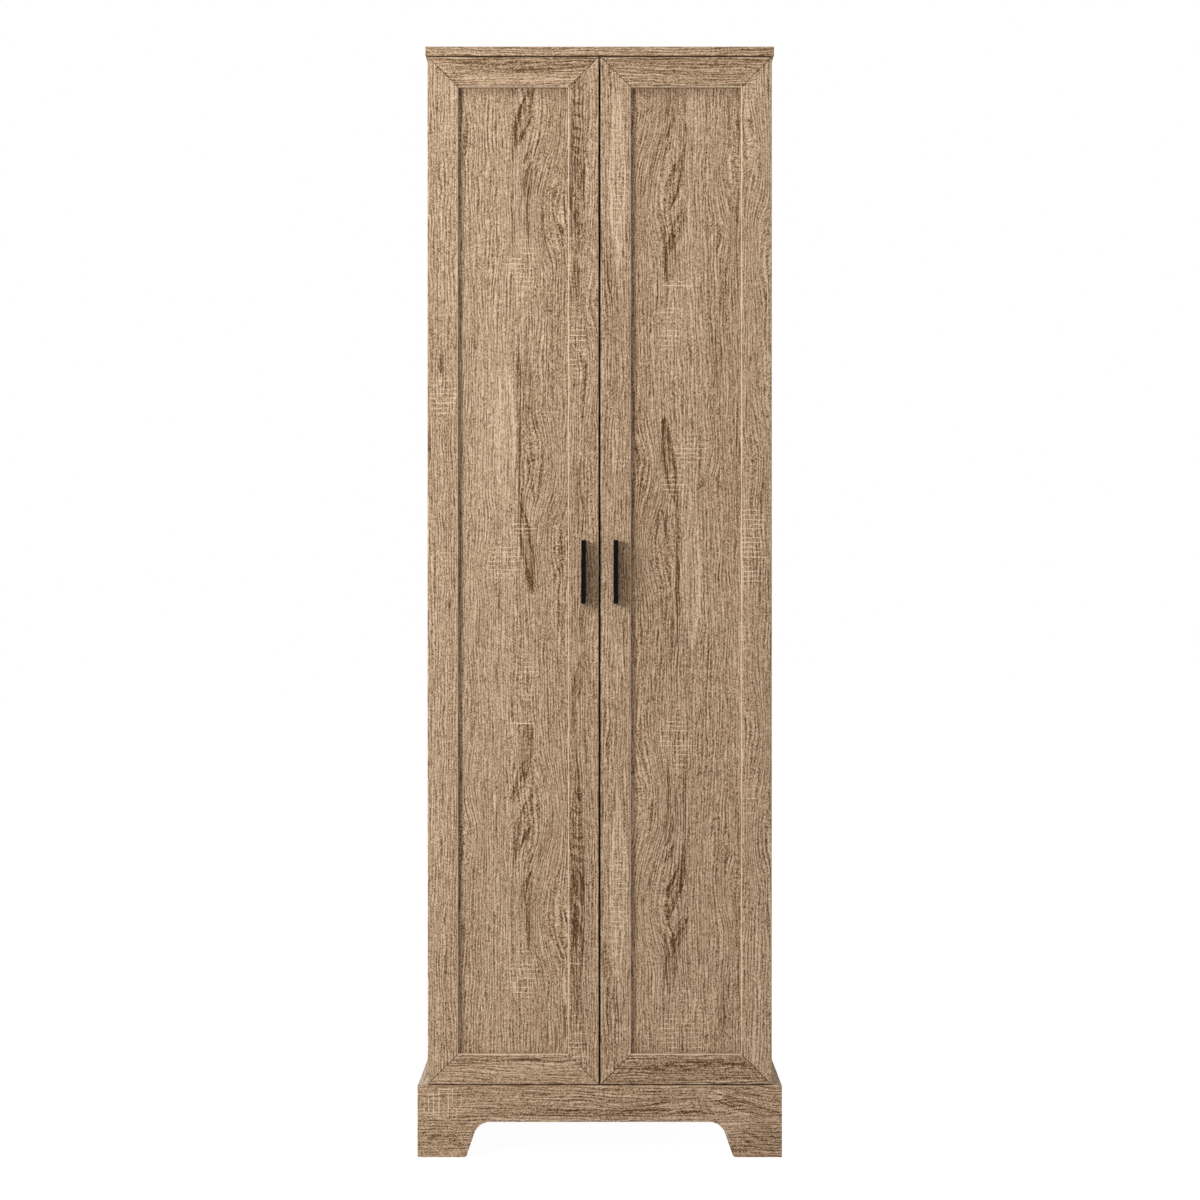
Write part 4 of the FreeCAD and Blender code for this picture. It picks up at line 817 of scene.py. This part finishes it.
# Floor's grey for the light it throws back, and where it is seen
FLOOR_GREY = (0.78, 0.78, 0.78, 1.0)
FLOOR_SEEN_GREY = (0.20, 0.20, 0.20, 1.0)
# Strength of the world as a light and as the background
WORLD_STRENGTH = (0.08, 1.0)
# Lamps: place, target, width and height in metres, power in watts and colour
LAMPS = {
    "key_left": ((-2.45, -2.25, 1.85), (0.0, 0.0, 1.15), (1.1, 0.8), 86.0, WHITE),
    "overhead": ((-0.3, -1.8, 4.8), (0.0, -0.15, 0.9), (2.4, 1.6), 84.0, WHITE),
    "front_fill": ((0.3, -4.3, 1.5), (0.0, 0.0, 1.0), (2.0, 2.0), 7.0, WARM_WHITE),
    "right_fill": ((3.2, 0.9, 1.6), (0.0, 0.1, 0.95), (1.6, 1.6), 45.0, WHITE),
    "back_fill": ((-0.6, 3.4, 2.2), (0.0, 0.0, 0.95), (1.8, 1.8), 60.0, WHITE),
}


def seen_directly(tree):
    """1 for rays that show the white studio itself, straight, mirrored or through something clear."""
    rays = add_node(tree, "ShaderNodeLightPath").outputs
    mirrored = calc(tree, "MAXIMUM", rays["Is Glossy Ray"], rays["Is Transmission Ray"])
    return calc(tree, "MAXIMUM", rays["Is Camera Ray"], mirrored)


def make_floor():
    """White floor that still takes a faint shadow."""
    bpy.ops.object.select_all(action="DESELECT")
    bpy.ops.mesh.primitive_plane_add(size=FLOOR_SIZE, location=(0.0, 0.0, 0.0))
    floor = bpy.context.object
    floor.name = "studio_floor"
    material, tree = new_material("pale_floor")
    seen = seen_directly(tree)
    level = spread(tree, length(tree, object_place(tree)), *FLOOR_GLOW, *GLOW_REACH)
    matt = add_node(tree, "ShaderNodeBsdfDiffuse", {"Color": FLOOR_GREY}).outputs[0]
    faint = add_node(tree, "ShaderNodeBsdfDiffuse", {"Color": FLOOR_SEEN_GREY}).outputs[0]
    paper = add_node(tree, "ShaderNodeMixShader", {0: seen, 1: matt, 2: faint}).outputs[0]
    light = {"Color": (*WHITE, 1.0), "Strength": calc(tree, "MULTIPLY", seen, level)}
    glow = add_node(tree, "ShaderNodeEmission", light).outputs[0]
    both = add_node(tree, "ShaderNodeAddShader", {0: paper, 1: glow}).outputs[0]
    add_node(tree, "ShaderNodeOutputMaterial", {"Surface": both})
    floor.data.materials.append(material)


def make_world():
    """White background that lights the cabinet only faintly, and warmly."""
    world = bpy.data.worlds.new("studio")
    world.use_nodes = True
    bpy.context.scene.world = world
    tree = world.node_tree
    tree.nodes.clear()
    seen = seen_directly(tree)
    tint = mix_colours(tree, seen, (*WARM_WHITE, 1.0), (*WHITE, 1.0))
    strength = spread(tree, seen, *WORLD_STRENGTH)
    sky = add_node(tree, "ShaderNodeBackground", {"Color": tint, "Strength": strength})
    add_node(tree, "ShaderNodeOutputWorld", {"Surface": sky.outputs[0]})


def add_lamp(name, place, target, size, power, colour):
    """Rectangular lamp that faces its target."""
    data = bpy.data.lights.new(name, "AREA")
    data.color = colour
    data.shape = "RECTANGLE"
    data.size, data.size_y = size
    data.energy = power
    lamp = bpy.data.objects.new(name, data)
    bpy.context.scene.collection.objects.link(lamp)
    lamp.location = place
    lamp.rotation_euler = (Vector(target) - Vector(place)).to_track_quat("-Z", "Y").to_euler()


def make_camera():
    """Level camera that shows the door faces at the photograph's scale and place."""
    data = bpy.data.cameras.new("camera")
    camera = bpy.data.objects.new("camera", data)
    bpy.context.scene.collection.objects.link(camera)
    data.sensor_width = SENSOR
    data.lens = SENSOR * CAMERA_DISTANCE / (PHOTO_SIDE * PIXEL)
    across, height = photo_place(PHOTO_SIDE / 2, PHOTO_SIDE / 2)
    camera.location = (across, DOOR_FACE_Y - CAMERA_DISTANCE, height)
    camera.rotation_euler = (math.radians(90), 0, 0)
    bpy.context.scene.camera = camera


paint_boards()
paint_fittings()
make_floor()
make_world()
for lamp_name, lamp_values in LAMPS.items():
    add_lamp(lamp_name, *lamp_values)
make_camera()
bpy.context.scene.view_settings.view_transform = "Standard"
